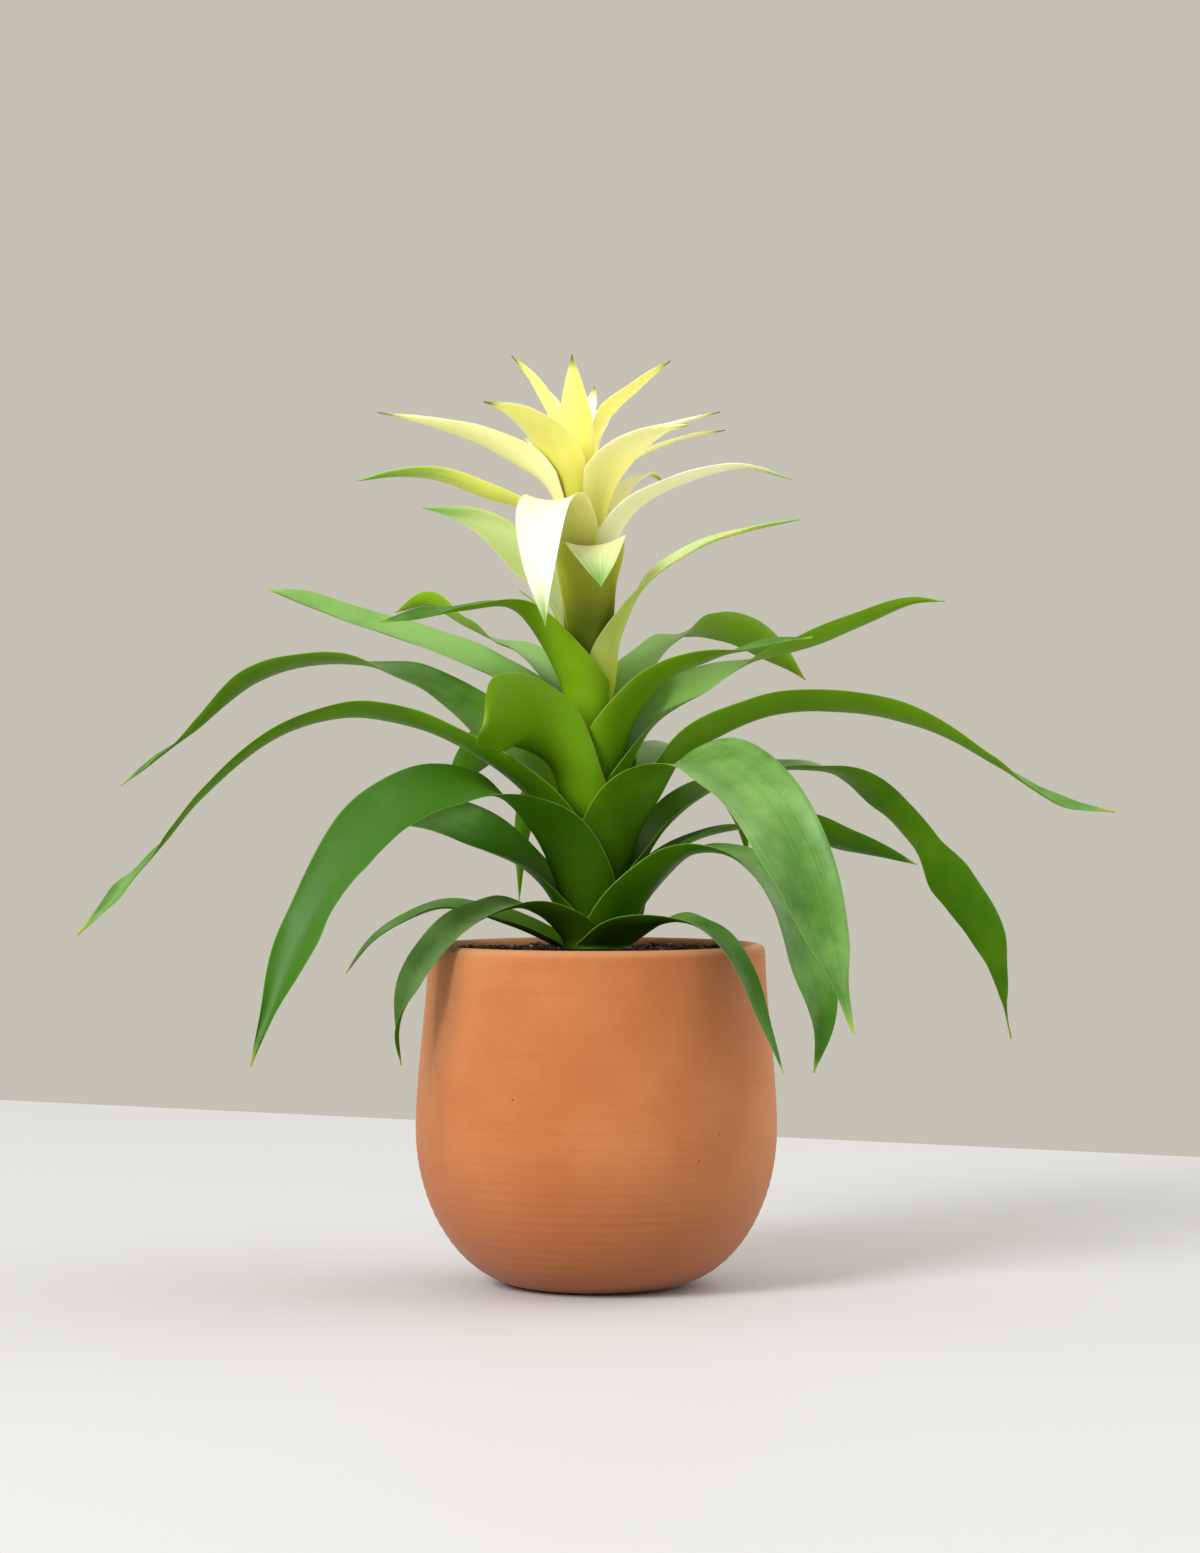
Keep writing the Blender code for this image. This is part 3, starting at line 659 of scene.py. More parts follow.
class BladeTool(Tool):
    """Grows a leaf or bract round its midrib: a thin lens section, cupped or clasping, with a wavy margin."""

    WAVE_REACH = 0.9

    def __init__(self) -> None:
        """Build the tree."""
        super().__init__("grow_blade", [("Section points", "NodeSocketInt"), ("Ripple", "NodeSocketFloat"),
                                        ("Ripple pitch", "NodeSocketFloat"), ("Seed", "NodeSocketFloat"),
                                        ("Finish", "NodeSocketMaterial")])
        add, given = self.add, self.given
        rib = add("GeometryNodeMeshToCurve", {}, {"Mesh": given("Geometry")})
        ring = add("GeometryNodeCurvePrimitiveCircle", {},
                   {"Resolution": given("Section points"), "Radius": 1.0})
        where = add("GeometryNodeInputPosition")
        split = add("ShaderNodeSeparateXYZ", {}, {0: where})
        kept = self.capture(ring.outputs["Curve"], {"across": ("FLOAT", split.outputs["X"]),
                                                    "layer": ("FLOAT", split.outputs["Y"])})
        tube = add("GeometryNodeCurveToMesh", {}, {"Curve": rib, "Profile Curve": kept.outputs["Geometry"],
                                                   "Fill Caps": True})
        across, layer = kept.outputs["across"], kept.outputs["layer"]
        half, gamma, thick, length = (add("GeometryNodeInputNamedAttribute", {"data_type": "FLOAT"},
                                          {"Name": name}) for name in ("half", "gamma", "thick", "length"))
        spine, side, bend = (add("GeometryNodeInputNamedAttribute", {"data_type": "FLOAT_VECTOR"},
                                 {"Name": name}) for name in ("spine", "side", "bend"))
        angle = add(MATH, TIMES, {0: across, 1: gamma})
        radius = add(MATH, OVER, {0: half, 1: gamma})
        sine = add(MATH, {"operation": "SINE"}, {0: angle})
        cosine = add(MATH, {"operation": "COSINE"}, {0: angle})
        lateral = add(MATH, TIMES, {0: radius, 1: sine})
        fall = add(MATH, MINUS, {0: 1.0, 1: cosine})
        rise = add(MATH, TIMES, {0: radius, 1: fall})
        skin = add(MATH, TIMES, {0: layer, 1: thick})
        beats = add(MATH, OVER, {0: length, 1: given("Ripple pitch")})
        reach = add(MATH, TIMES, {0: across, 1: self.WAVE_REACH})
        wave_place = add("ShaderNodeCombineXYZ", {}, {0: beats, 1: reach, 2: given("Seed")})
        wave = add(NOISE, {"normalize": True}, {"Vector": wave_place, "Scale": 1.0, "Detail": 1.0})
        swing = add(MATH, TIMES_PLUS, {0: wave.outputs[0], 1: 2.0, 2: -1.0})
        lever = add(MATH, TIMES, {0: across, 1: across})
        slack = add(MATH, TIMES, {0: swing, 1: lever})
        slack = add(MATH, TIMES, {0: slack, 1: given("Ripple")})
        lift = add(MATH, PLUS, {0: skin, 1: slack})
        lean = add(MATH, TIMES, {0: lift, 1: sine})
        along_side = add(MATH, MINUS, {0: lateral, 1: lean})
        along_bend = add(MATH, TIMES_PLUS, {0: lift, 1: cosine, 2: rise})
        aside = add(VECTOR_MATH, SCALED, {0: side, "Scale": along_side})
        inward = add(VECTOR_MATH, SCALED, {0: bend, "Scale": along_bend})
        place = add(VECTOR_MATH, PLUS, {0: spine, 1: aside})
        place = add(VECTOR_MATH, PLUS, {0: place, 1: inward})
        blade = add("GeometryNodeSetPosition", {}, {"Geometry": tube, "Position": place})
        for name, value in (("across", across), ("layer", layer)):
            blade = add("GeometryNodeStoreNamedAttribute", {"data_type": "FLOAT", "domain": "POINT"},
                        {"Geometry": blade, "Name": name, "Value": value})
        self.end(blade.outputs[0], given("Finish"))


class TurningTool(Tool):
    """Turns a profile of (radius, height) round the Z axis, with a slow wobble in the radius."""

    def __init__(self) -> None:
        """Build the tree."""
        super().__init__("turn_profile", [("Segments", "NodeSocketInt"), ("Wobble", "NodeSocketFloat"),
                                          ("Wobble scale", "NodeSocketFloat"),
                                          ("Finish", "NodeSocketMaterial")])
        add, given = self.add, self.given
        profile = add("GeometryNodeMeshToCurve", {}, {"Mesh": given("Geometry")})
        where = add("GeometryNodeInputPosition")
        split = add("ShaderNodeSeparateXYZ", {}, {0: where})
        kept = self.capture(profile.outputs[0], {"reach": ("FLOAT", split.outputs["X"]),
                                                 "height": ("FLOAT", split.outputs["Z"])})
        wheel = add("GeometryNodeCurvePrimitiveCircle", {}, {"Resolution": given("Segments"), "Radius": 1.0})
        turn = self.capture(wheel.outputs["Curve"], {"spoke": ("VECTOR", where)})
        skin = add("GeometryNodeCurveToMesh", {},
                   {"Curve": turn.outputs["Geometry"], "Profile Curve": kept.outputs["Geometry"],
                    "Fill Caps": False})
        level = add("ShaderNodeCombineXYZ", {}, {2: kept.outputs["height"]})
        spoke = add(VECTOR_MATH, SCALED, {0: turn.outputs["spoke"], "Scale": kept.outputs["reach"]})
        place = add(VECTOR_MATH, PLUS, {0: spoke, 1: level})
        noise = add(NOISE, {"normalize": True}, {"Vector": place, "Scale": given("Wobble scale"),
                                                 "Detail": 2.0})
        swing = add(MATH, TIMES_PLUS, {0: noise.outputs[0], 1: 2.0, 2: -1.0})
        swing = add(MATH, TIMES, {0: swing, 1: given("Wobble")})
        shift = add(VECTOR_MATH, SCALED, {0: turn.outputs["spoke"], "Scale": swing})
        away = add(MATH, ABOVE, {0: kept.outputs["reach"], 1: 1e-5})
        shift = add(VECTOR_MATH, SCALED, {0: shift, "Scale": away})
        place = add(VECTOR_MATH, PLUS, {0: place, 1: shift})
        moved = add("GeometryNodeSetPosition", {}, {"Geometry": skin, "Position": place})
        closed = add("GeometryNodeMergeByDistance", {}, {"Geometry": moved, "Distance": 1e-5})
        self.end(closed.outputs[0], given("Finish"))


class ScatterTool(Tool):
    """Scatters small broken grains over the upward faces of a bed."""

    def __init__(self) -> None:
        """Build the tree."""
        super().__init__("scatter_grains", [("Density", "NodeSocketFloat"), ("Smallest", "NodeSocketFloat"),
                                            ("Largest", "NodeSocketFloat"), ("Length", "NodeSocketFloat"),
                                            ("Flatness", "NodeSocketFloat"), ("Lift", "NodeSocketFloat"),
                                            ("Seed", "NodeSocketInt"), ("Finish", "NodeSocketMaterial")])
        add, given = self.add, self.given
        normal = add("GeometryNodeInputNormal")
        up = add("ShaderNodeSeparateXYZ", {}, {0: normal})
        top = add(MATH, ABOVE, {0: up.outputs["Z"], 1: 0.5})
        points = add("GeometryNodeDistributePointsOnFaces", {},
                     {"Mesh": given("Geometry"), "Selection": top, "Density": given("Density"),
                      "Seed": given("Seed")})
        raise_by = add("ShaderNodeCombineXYZ", {}, {2: given("Lift")})
        raised = add("GeometryNodeSetPosition", {},
                     {"Geometry": points.outputs["Points"], "Offset": raise_by})
        grain = add("GeometryNodeMeshIcoSphere", {}, {"Radius": 1.0, "Subdivisions": 1})
        where = add("GeometryNodeInputPosition")
        lump = add(NOISE, {}, {"Vector": where, "Scale": 0.9, "Detail": 0.0})
        lump = add(MATH, TIMES_PLUS, {0: lump.outputs[0], 1: 1.1, 2: 0.35})
        lumpy = add(VECTOR_MATH, SCALED, {0: where, "Scale": lump})
        stretch = add("ShaderNodeCombineXYZ", {}, {0: given("Length"), 1: 1.0, 2: given("Flatness")})
        shaped = add(VECTOR_MATH, TIMES, {0: lumpy, 1: stretch})
        broken = add("GeometryNodeSetPosition", {}, {"Geometry": grain.outputs["Mesh"], "Position": shaped})
        turn = add("FunctionNodeRandomValue", {"data_type": "FLOAT_VECTOR"},
                   {0: (-0.6, -0.6, 0.0), 1: (0.6, 0.6, math.tau), "Seed": given("Seed")})
        size = add("FunctionNodeRandomValue", {"data_type": "FLOAT"},
                   {2: given("Smallest"), 3: given("Largest"), "Seed": given("Seed")})
        placed = add("GeometryNodeInstanceOnPoints", {},
                     {"Points": raised, "Instance": broken, "Rotation": turn.outputs[0],
                      "Scale": size.outputs[1]})
        self.end(placed.outputs[0], given("Finish"), smooth=False)


# ---------------------------------------- blades


class TipColour(Enum):
    """How a bract's tip ends."""

    GREEN = 0.0
    BROWN = 1.0


@dataclass(frozen=True)
class Growth:
    """What all leaves, or all bracts, share: sizes in metres, and counts.

    drop is how far the sheath runs down the stem below the blade's first point, and standoff how far off the
    stem its midrib stays. stations are the points along the midrib, and section_points those round a section.
    """

    foot_thickness: float
    tip_thickness: float
    drop: float
    standoff: float
    stations: int
    section_points: int


LEAF_GROWTH = Growth(foot_thickness=1.3 * MM, tip_thickness=0.6 * MM, drop=14.0 * MM, standoff=1.3 * MM,
                     stations=90, section_points=28)
BRACT_GROWTH = Growth(foot_thickness=0.9 * MM, tip_thickness=0.45 * MM, drop=9.0 * MM, standoff=0.95 * MM,
                      stations=64, section_points=24)


@dataclass(frozen=True)
class Blade:
    """One leaf or bract.

    azimuth is in degrees about the stem, from +X. rib holds the midrib's (reach from the stem's axis, height
    above the mix) in millimetres. width is the free blade's and sheath the clasping foot's, in millimetres.
    wrap is the half angle round the stem that the sheath stays within, and roll turns the blade about its
    midrib. cup is the half angle of the trough across it, and curl that at the tip. ripple is the margin's
    waviness in millimetres, and tone how pale the upper face is. It narrows from taper_from to its tip.
    spins holds (share of the length, degrees) keys that turn the blade further about its midrib, and swell
    (share of the length, factor) keys that broaden or narrow it.

    The other fields are for bracts: olive_end is how far the olive foot reaches and olive_depth how dark it
    is, greenness is how green the whole blade is, and tip_start and tip_colour are where the tip starts to
    turn, and how it ends.
    """

    azimuth: float
    rib: tuple
    width: float
    sheath: float = 38.0
    wrap: float = 92.0
    roll: float = 0.0
    cup: float = 28.0
    curl: float = 55.0
    ripple: float = 1.0
    taper_from: float = 0.4
    spins: tuple = ()
    swell: tuple = ()
    # tone pales the blade: partly its own paleness, partly painted sheen and light
    tone: float = 0.0
    olive_end: float = 0.3
    tip_start: float = 0.85
    tip_colour: TipColour = TipColour.GREEN
    greenness: float = 0.0
    olive_depth: float = 0.0

    ROLL_START = 0.15
    ROLL_EASE = 0.35
    SHEATH_START = 1.2
    SHEATH_END = 2.9
    SHEATH_FLARE = 0.25
    SHEATH_LOWEST = 1.5 * MM
    TIP_HALF_WIDTH = 0.25 * MM
    FREE_START = 0.1
    FREE_EASE = 0.3
    TAPER_SHAPE = (2.3, 1.1)
    CURL_START = 0.72
    CURL_EASE = 0.28

    def full_rib(self, growth: Growth) -> list[tuple[float, float]]:
        """The midrib, carried down the stem behind the sheath.

        Args:
            growth: what its kind shares.

        Returns:
            (reach, height) of each point, in metres.
        """
        rib = [(reach * MM, height * MM) for reach, height in self.rib]
        reach, height = rib[0]
        foot = max(height - growth.drop, self.SHEATH_LOWEST)
        if height - foot < self.SHEATH_LOWEST:
            return rib
        clear = stem_radius(foot) + growth.standoff
        return [(max(clear, reach - self.SHEATH_FLARE * (height - foot)), foot)] + rib

    def half_width(self, along: float, reach: float) -> float:
        """Half the blade's width at a place along it: broad sheath, even blade, drawn-out tip.

        Args:
            along: the share of the length.
            reach: the midrib's distance from the stem's axis there.

        Returns:
            The half width in metres.
        """
        free = 0.5 * self.width * MM
        broad = max(free, 0.5 * self.sheath * MM)
        width = broad + (free - broad) * smoothstep((along - self.FREE_START) / self.FREE_EASE)
        taper = min(1.0, max(0.0, (along - self.taper_from) / (1.0 - self.taper_from)))
        blunt, sharp = self.TAPER_SHAPE
        width *= (1.0 - taper ** blunt) ** sharp * between(self.swell, along, 1.0)
        return max(self.TIP_HALF_WIDTH, min(width, math.radians(self.wrap) * reach))

    def rib_mesh(self, name: str, growth: Growth, seed: float, youth: float) -> bpy.types.Mesh:
        """The midrib as a line of points that carry the section's place, directions and sizes.

        Args:
            name: the piece's name.
            growth: what its kind shares.
            seed: a number that sets its grain apart from its neighbours'.
            youth: 0 for the oldest and lowest blade of its kind, 1 for the newest.

        Returns:
            The line, for the blade tool.
        """
        places = even_stations(self.full_rib(growth), growth.stations)
        heading = math.radians(self.azimuth)
        outward = Vector((math.cos(heading), math.sin(heading), 0.0))
        level = Vector((-math.sin(heading), math.cos(heading), 0.0))
        spine = [stem_centre(place.y) + outward * place.x for place in places]
        clasp = self.rib[0][0] * MM
        last = len(places) - 1
        marks: dict[str, list] = {}
        length = 0.0
        for index, place in enumerate(places):
            along = index / last
            if index:
                length += (spine[index] - spine[index - 1]).length
            tangent = (spine[min(index + 1, last)] - spine[max(index - 1, 0)]).normalized()
            flat = (level - level.dot(tangent) * tangent).normalized()
            free = smoothstep((place.x / clasp - self.SHEATH_START) / (self.SHEATH_END - self.SHEATH_START))
            turn = (self.roll * smoothstep((along - self.ROLL_START) / self.ROLL_EASE)
                    + between(self.spins, along, 0.0))
            rolled = Matrix.Rotation(math.radians(turn), 3, tangent) @ flat
            side = level.lerp(rolled, free).normalized()
            bend = (-outward).lerp(tangent.cross(rolled), free)
            bend = (bend - bend.dot(side) * side).normalized()
            half = self.half_width(along, place.x)
            cup = math.radians(self.cup + (self.curl - self.cup)
                               * smoothstep((along - self.CURL_START) / self.CURL_EASE))
            here = {"spine": spine[index], "side": side, "bend": bend, "half": half, "along": along,
                    "length": length, "gamma": (1.0 - free) * half / place.x + free * cup,
                    "thick": 0.5 * (growth.foot_thickness + (growth.tip_thickness - growth.foot_thickness)
                                    * along)}
            for label, value in here.items():
                marks.setdefault(label, []).append(value)
        throughout = {"tone": self.tone, "seed": seed, "youth": youth, "olive_end": self.olive_end,
                      "tip_start": self.tip_start, "brown_tip": self.tip_colour.value,
                      "greenness": self.greenness, "olive_depth": self.olive_depth}
        marks.update({label: [value] * len(places) for label, value in throughout.items()})
        return line_mesh(name + "_rib", spine, marks)


def stem_radius(height: float) -> float:
    """The stem's radius at a height above the mix."""
    return STEM_FOOT_RADIUS - STEM_TAPER * max(0.0, height)


def stem_centre(height: float) -> Vector:
    """The stem's axis at a height above the mix: upright at the foot, drifting towards the top."""
    drift = STEM_LEAN * (max(0.0, height) / STEM_HEIGHT) ** 1.5
    return Vector((drift, 0.0, MIX_TOP + height))


def even_stations(points: Sequence[Sequence[float]], count: int) -> list[Vector]:
    """Even stations along a Catmull-Rom curve through points.

    Args:
        points: the points, in a plane.
        count: how many stations.

    Returns:
        The stations, the first and last on the end points.
    """
    knots = [Vector(point) for point in points]
    ends = [2.0 * knots[0] - knots[1]] + knots + [2.0 * knots[-1] - knots[-2]]
    steps = 24
    fine = []
    for before, start, end, after in zip(ends, ends[1:], ends[2:], ends[3:]):
        for step in range(steps):
            t = step / steps
            fine.append(0.5 * (2.0 * start + (end - before) * t
                               + (2.0 * before - 5.0 * start + 4.0 * end - after) * t ** 2
                               + (3.0 * start - before - 3.0 * end + after) * t ** 3))
    fine.append(knots[-1])
    lengths = [0.0]
    for start, end in zip(fine, fine[1:]):
        lengths.append(lengths[-1] + (end - start).length)
    stations, place = [], 0
    for index in range(count):
        target = lengths[-1] * index / (count - 1)
        while place < len(fine) - 2 and lengths[place + 1] < target:
            place += 1
        share = (target - lengths[place]) / (lengths[place + 1] - lengths[place])
        stations.append(fine[place].lerp(fine[place + 1], min(1.0, share)))
    return stations


# Leaves, from the lowest on the stem to the highest.
LEAVES = (
    Blade(172, ((15.5, 2), (30, 9), (46, 15), (61, 17), (77, 11), (89, 3), (99, -9)), 15, wrap=50, tone=-0.1,
          spins=((0.4, -12), (1.0, -20))),
    Blade(-45, ((13.6, 3), (26, 10), (46, 13), (64, 8), (79, -7), (89, -26), (98, -42)), 14, tone=-0.15,
          taper_from=0.3),
    Blade(84, ((13.6, 5), (26, 17), (46, 31), (70, 33), (92, 20), (104, -5), (108, -25)), 22, wrap=55),
    Blade(-150, ((13.4, 5.5), (22, 14), (37, 18), (57, 13), (73, 0), (82, -14), (86, -28), (85, -41)), 19,
          roll=-15, tone=0.05, spins=((0.72, 0), (0.95, 55)), swell=((0.6, 1.0), (0.8, 1.1))),
    Blade(-33, ((13.3, 9), (24, 25), (42, 38), (65, 37), (83, 21), (95, -4), (100, -24), (97, -43)), 24,
          tone=-0.05, spins=((0.5, 0), (0.8, 25)), swell=((0.6, 1.0), (0.8, 1.35), (0.95, 1.3))),
    Blade(165, ((13.3, 13), (24, 29), (46, 44), (71, 52), (96, 47), (120, 28)), 29, wrap=80, tone=-0.25,
          spins=((0.2, 0), (0.45, -28), (1.0, -35))),
    Blade(15, ((12.4, 14), (22, 31), (40, 43), (64, 48), (86, 47), (106, 40), (132, 33)), 17, wrap=46,
          tone=-0.1, taper_from=0.7, spins=((0.45, 0), (0.68, -35), (0.9, -30)), ripple=1.8),
    Blade(109, ((12.9, 18), (28, 43), (48, 58), (75, 60), (92, 42), (98, 16)), 13, wrap=34, tone=0.2),
    Blade(-145, ((12.8, 19), (23, 45), (43, 60), (70, 62), (99, 50), (121, 27), (137, 0), (154, -38)), 29,
          roll=-30, tone=-0.4,
          swell=((0.12, 1.2), (0.3, 1.3), (0.5, 1.05), (0.72, 0.88), (0.82, 1.08), (0.92, 1.0)), ripple=2.4),
    Blade(20,
          ((12.2, 22), (27, 47), (49, 63), (79, 71), (109, 67), (132, 50), (152, 26), (170, -1), (178, -38)),
          24, wrap=60, roll=10, tone=0.05, spins=((0.42, 0), (0.58, -40), (0.72, -72), (1.0, -85)),
          swell=((0.45, 0.85), (0.60, 0.66), (0.665, 0.6), (0.74, 1.1), (0.84, 1.3), (0.93, 0.85),
                 (0.97, 0.4)), ripple=2.4),
    Blade(128, ((12.6, 26), (22, 48), (37, 70), (57, 83), (83, 73), (104, 52)), 22, wrap=45,
          spins=((0.35, 0), (0.6, 50))),
    Blade(-48, ((12.4, 29), (20, 52), (38, 69), (64, 73), (90, 60), (111, 35), (124, 9), (139, -25)), 34,
          roll=25, tone=0.12, swell=((0.5, 1.0), (0.72, 1.05), (0.85, 1.1), (0.94, 0.75)), ripple=1.8),
    Blade(64, ((12.3, 35), (20, 54), (40, 70), (76, 80), (112, 72), (136, 52), (148, 32)), 24, wrap=45),
    Blade(-168,
          ((12.2, 36), (27, 62), (52, 80), (75, 89), (98, 91), (125, 82), (152, 60), (170, 39), (200, 8)), 22,
          tone=0.15, spins=((0.25, 0), (0.45, 14), (0.80, 16), (0.87, -25), (0.93, -70)),
          swell=((0.2, 1.2), (0.36, 1.15), (0.6, 0.8), (0.80, 0.65), (0.865, 0.5), (0.92, 1.2), (0.97, 1.0))),
    Blade(0, ((12.0, 41), (17, 55), (28, 70), (46, 84), (73, 94), (104, 94), (131, 87), (157, 72), (180, 58),
              (202, 54)), 22, wrap=80, tone=0.25,
          spins=((0.15, 0), (0.32, -24), (0.60, -22), (0.78, -8), (0.86, 25), (0.93, 55)),
          swell=((0.6, 1.0), (0.78, 0.75), (0.85, 0.55), (0.92, 1.1))),
    Blade(162, ((11.9, 45), (30, 74), (57, 98), (84, 110), (113, 113), (143, 106), (170, 85), (201, 64)), 24,
          tone=-0.1,
          spins=((0.12, 0), (0.28, -24), (0.42, -16), (0.54, 10), (0.70, 18), (0.84, 12), (0.90, -20),
                 (0.97, -50)),
          swell=((0.4, 1.0), (0.55, 0.8), (0.7, 0.8), (0.82, 0.6), (0.87, 0.42), (0.93, 0.95))),
    Blade(85, ((11.7, 50), (20, 68), (40, 82), (64, 86), (92, 78), (118, 56), (134, 28)), 24),
    Blade(-130, ((11.6, 52), (17, 71), (28, 86), (40, 91), (52, 90), (63, 87)), 30, tone=0.45,
          taper_from=0.88, spins=((0.2, 0), (0.5, 52), (0.8, 70), (1.0, 64)), swell=((0.6, 1.0), (0.9, 1.12)),
          curl=50, ripple=3.6),
    Blade(95, ((11.4, 58), (22, 79), (46, 98), (78, 106), (112, 98), (140, 76), (158, 48)), 24, wrap=50),
    Blade(25, ((11.0, 64), (24, 88), (48, 104), (70, 113), (93, 120), (120, 130), (144, 138), (160, 139)), 27,
          roll=32, tone=0.45, spins=((0.32, 0), (0.72, -85), (1.0, -80)),
          swell=((0.3, 1.0), (0.45, 0.72), (0.6, 0.45), (0.75, 0.5), (0.9, 0.7))),
    Blade(-30, ((10.7, 71), (17, 90), (29, 104), (49, 112), (70, 116), (97, 120)), 26, tone=0.05,
          spins=((0.3, 0), (0.6, -10), (0.85, 25)), swell=((0.3, 1.05), (0.5, 0.75), (0.7, 0.6), (0.9, 0.8))),
    Blade(158, ((10.8, 76), (22, 97), (46, 112), (76, 123), (102, 131), (138, 143)), 20, wrap=80, roll=-22,
          tone=0.45, taper_from=0.75, swell=((0.3, 1.1), (0.6, 0.95), (0.82, 0.75), (0.94, 1.0))),
    Blade(50, ((10.4, 81), (14, 93), (27, 108), (48, 121), (70, 127), (96, 127), (122, 118), (139, 108)), 18,
          wrap=60, tone=0.35, taper_from=0.7, spins=((0.44, 0), (0.58, -40), (0.68, -56), (1.0, -60)),
          swell=((0.4, 1.0), (0.55, 0.85), (0.7, 0.8), (0.9, 0.9))),
    Blade(135, ((10.0, 88), (17, 104), (34, 116), (50, 121), (70, 129), (90, 138), (111, 135)), 18, wrap=50,
          tone=0.35, taper_from=0.6, spins=((0.45, 0), (0.62, 28), (0.8, 50), (0.95, 20)),
          swell=((0.5, 1.0), (0.7, 0.8), (0.9, 0.9))),
    Blade(-150, ((9.6, 95), (12, 106), (21, 124), (34, 133), (56, 131), (90, 126)), 26, 44, wrap=105,
          tone=0.05, swell=((0.3, 1.05), (0.5, 0.8), (0.8, 0.7)), spins=((0.7, 0), (0.95, -50))),
)

# Bracts, from the lowest on the flower stalk to the highest.
BRACTS = (
    Blade(-15, ((9.5, 104), (13, 123), (25, 143), (46, 156), (66, 162), (86, 166)), 17, 30, 90, olive_end=0.1,
          tip_start=0.8, greenness=0.62, spins=((0.2, 0), (0.45, 22), (0.9, 12))),
    Blade(180, ((9.3, 108), (12.5, 124), (19, 134), (26, 140)), 12, 20, 45, olive_end=0.3, greenness=0.4),
    Blade(-78, ((9.2, 112), (11, 130), (14, 148), (20, 156), (26, 151), (28, 140)), 32, 34, 62, olive_end=2.4,
          tip_start=0.86, greenness=0.40, olive_depth=1.0, curl=30, spins=((0.55, 0), (0.9, 18)),
          swell=((0.5, 1.0), (0.8, 1.2))),
    Blade(155, ((8.8, 119), (16, 138), (30, 156), (46, 168), (70, 174)), 18, 28, 55, olive_end=0.1,
          tip_start=0.70, greenness=0.60, spins=((0.15, 0), (0.45, -38), (1.0, -34)),
          swell=((0.4, 1.0), (0.85, 1.1))),
    Blade(-118, ((8.5, 125), (11, 145), (15, 163), (22, 173), (31, 168), (35, 150), (34, 125)), 26, 28, 50,
          tone=0.35, olive_end=0.8, tip_start=0.90, olive_depth=0.45),
    Blade(-25, ((8.0, 138), (12, 158), (22, 171), (42, 180), (67, 185), (88, 180)), 20, 26, 50, tone=0.6,
          olive_end=0.2, tip_start=0.8),
    Blade(175, ((7.9, 144), (10, 158), (19, 170), (36, 177), (55, 184), (71, 185), (88, 183)), 16, 24, 50,
          olive_end=0.3, tip_start=0.48, greenness=0.25, tone=-0.1, spins=((0.25, 0), (0.6, 24), (1.0, 10)),
          swell=((0.6, 1.0), (0.85, 1.2))),
    Blade(40, ((7.7, 146), (11, 164), (20, 178), (33, 186), (43, 184)), 18, 24, 50, tone=0.3, tip_start=0.85),
    Blade(100, ((7.2, 152), (9, 168), (18, 182), (34, 191), (52, 195)), 18, 22, 42, tone=0.1),
    Blade(-172, ((7.4, 154), (10, 173), (18, 186), (31, 195), (50, 202), (78, 208)), 22, 26, 42,
          spins=((0.2, 0), (0.5, 26), (1.0, 20)), tone=0.30, olive_end=0.15, tip_start=0.93,
          swell=((0.3, 1.05), (0.62, 0.72), (0.85, 0.62)), tip_colour=TipColour.BROWN),
    Blade(-40, ((7.4, 158), (10.5, 174), (19, 188), (35, 197), (55, 201)), 27, 28, 48, tone=0.30,
          olive_end=0.62, tip_start=0.97),
    Blade(20, ((7.0, 164), (9.6, 177), (20, 190), (40, 199), (61, 204)), 16, 20, 40, tone=0.2, olive_end=0.15,
          tip_start=0.9, tip_colour=TipColour.BROWN),
    Blade(120, ((7.0, 165), (9, 179), (18, 191), (32, 198), (47, 203)), 18, 22, 42, tone=0.1, olive_end=0.15),
    Blade(-130, ((7.2, 167), (11, 182), (19, 196), (35, 205), (55, 209)), 24, 26, 50, tone=0.05,
          olive_end=0.62, tip_start=0.95, tip_colour=TipColour.BROWN),
    Blade(35, ((6.6, 170), (8.6, 182), (13, 191), (24, 200), (48, 207), (69, 213)), 13, 16, 42, tone=0.2,
          olive_end=0.1, tip_start=0.9, tip_colour=TipColour.BROWN),
    Blade(65, ((6.2, 176), (7, 189), (12, 203), (27, 211), (42, 217)), 16, 18, 36, tone=0.1, olive_end=0.1),
    Blade(-95, ((6.6, 172), (9, 188), (12.5, 204), (14, 218), (14, 230)), 15, 18, 45, tone=-0.05,
          olive_end=0.42, tip_start=0.93, tip_colour=TipColour.BROWN),
    Blade(-160, ((6.3, 184), (7.5, 197), (12, 209), (18, 220), (26, 230)), 18, 18, 32, tone=0.05,
          olive_end=0.1, tip_start=0.9, tip_colour=TipColour.BROWN),
    Blade(-15, ((6.2, 186), (7.5, 199), (14, 209), (25, 218), (38, 228)), 21, 20, 42, tone=0.05,
          olive_end=0.1, tip_start=0.93, tip_colour=TipColour.BROWN),
    Blade(145, ((6.0, 190), (7, 202), (12, 213), (19, 222)), 13, 13, 24, tone=0.3, olive_end=0.1,
          tip_start=0.85, tip_colour=TipColour.BROWN),
    Blade(50, ((5.9, 192), (6.5, 203), (8, 212), (11, 220)), 12, 12, 24, tone=0.3, olive_end=0.1,
          tip_start=0.85, tip_colour=TipColour.BROWN),
    Blade(97, ((5.8, 194), (6, 205), (8, 216), (12, 225)), 12, 12, 24, tone=0.3, olive_end=0.1,
          tip_start=0.85, tip_colour=TipColour.BROWN),
)


# ---------------------------------------- sub-assemblies


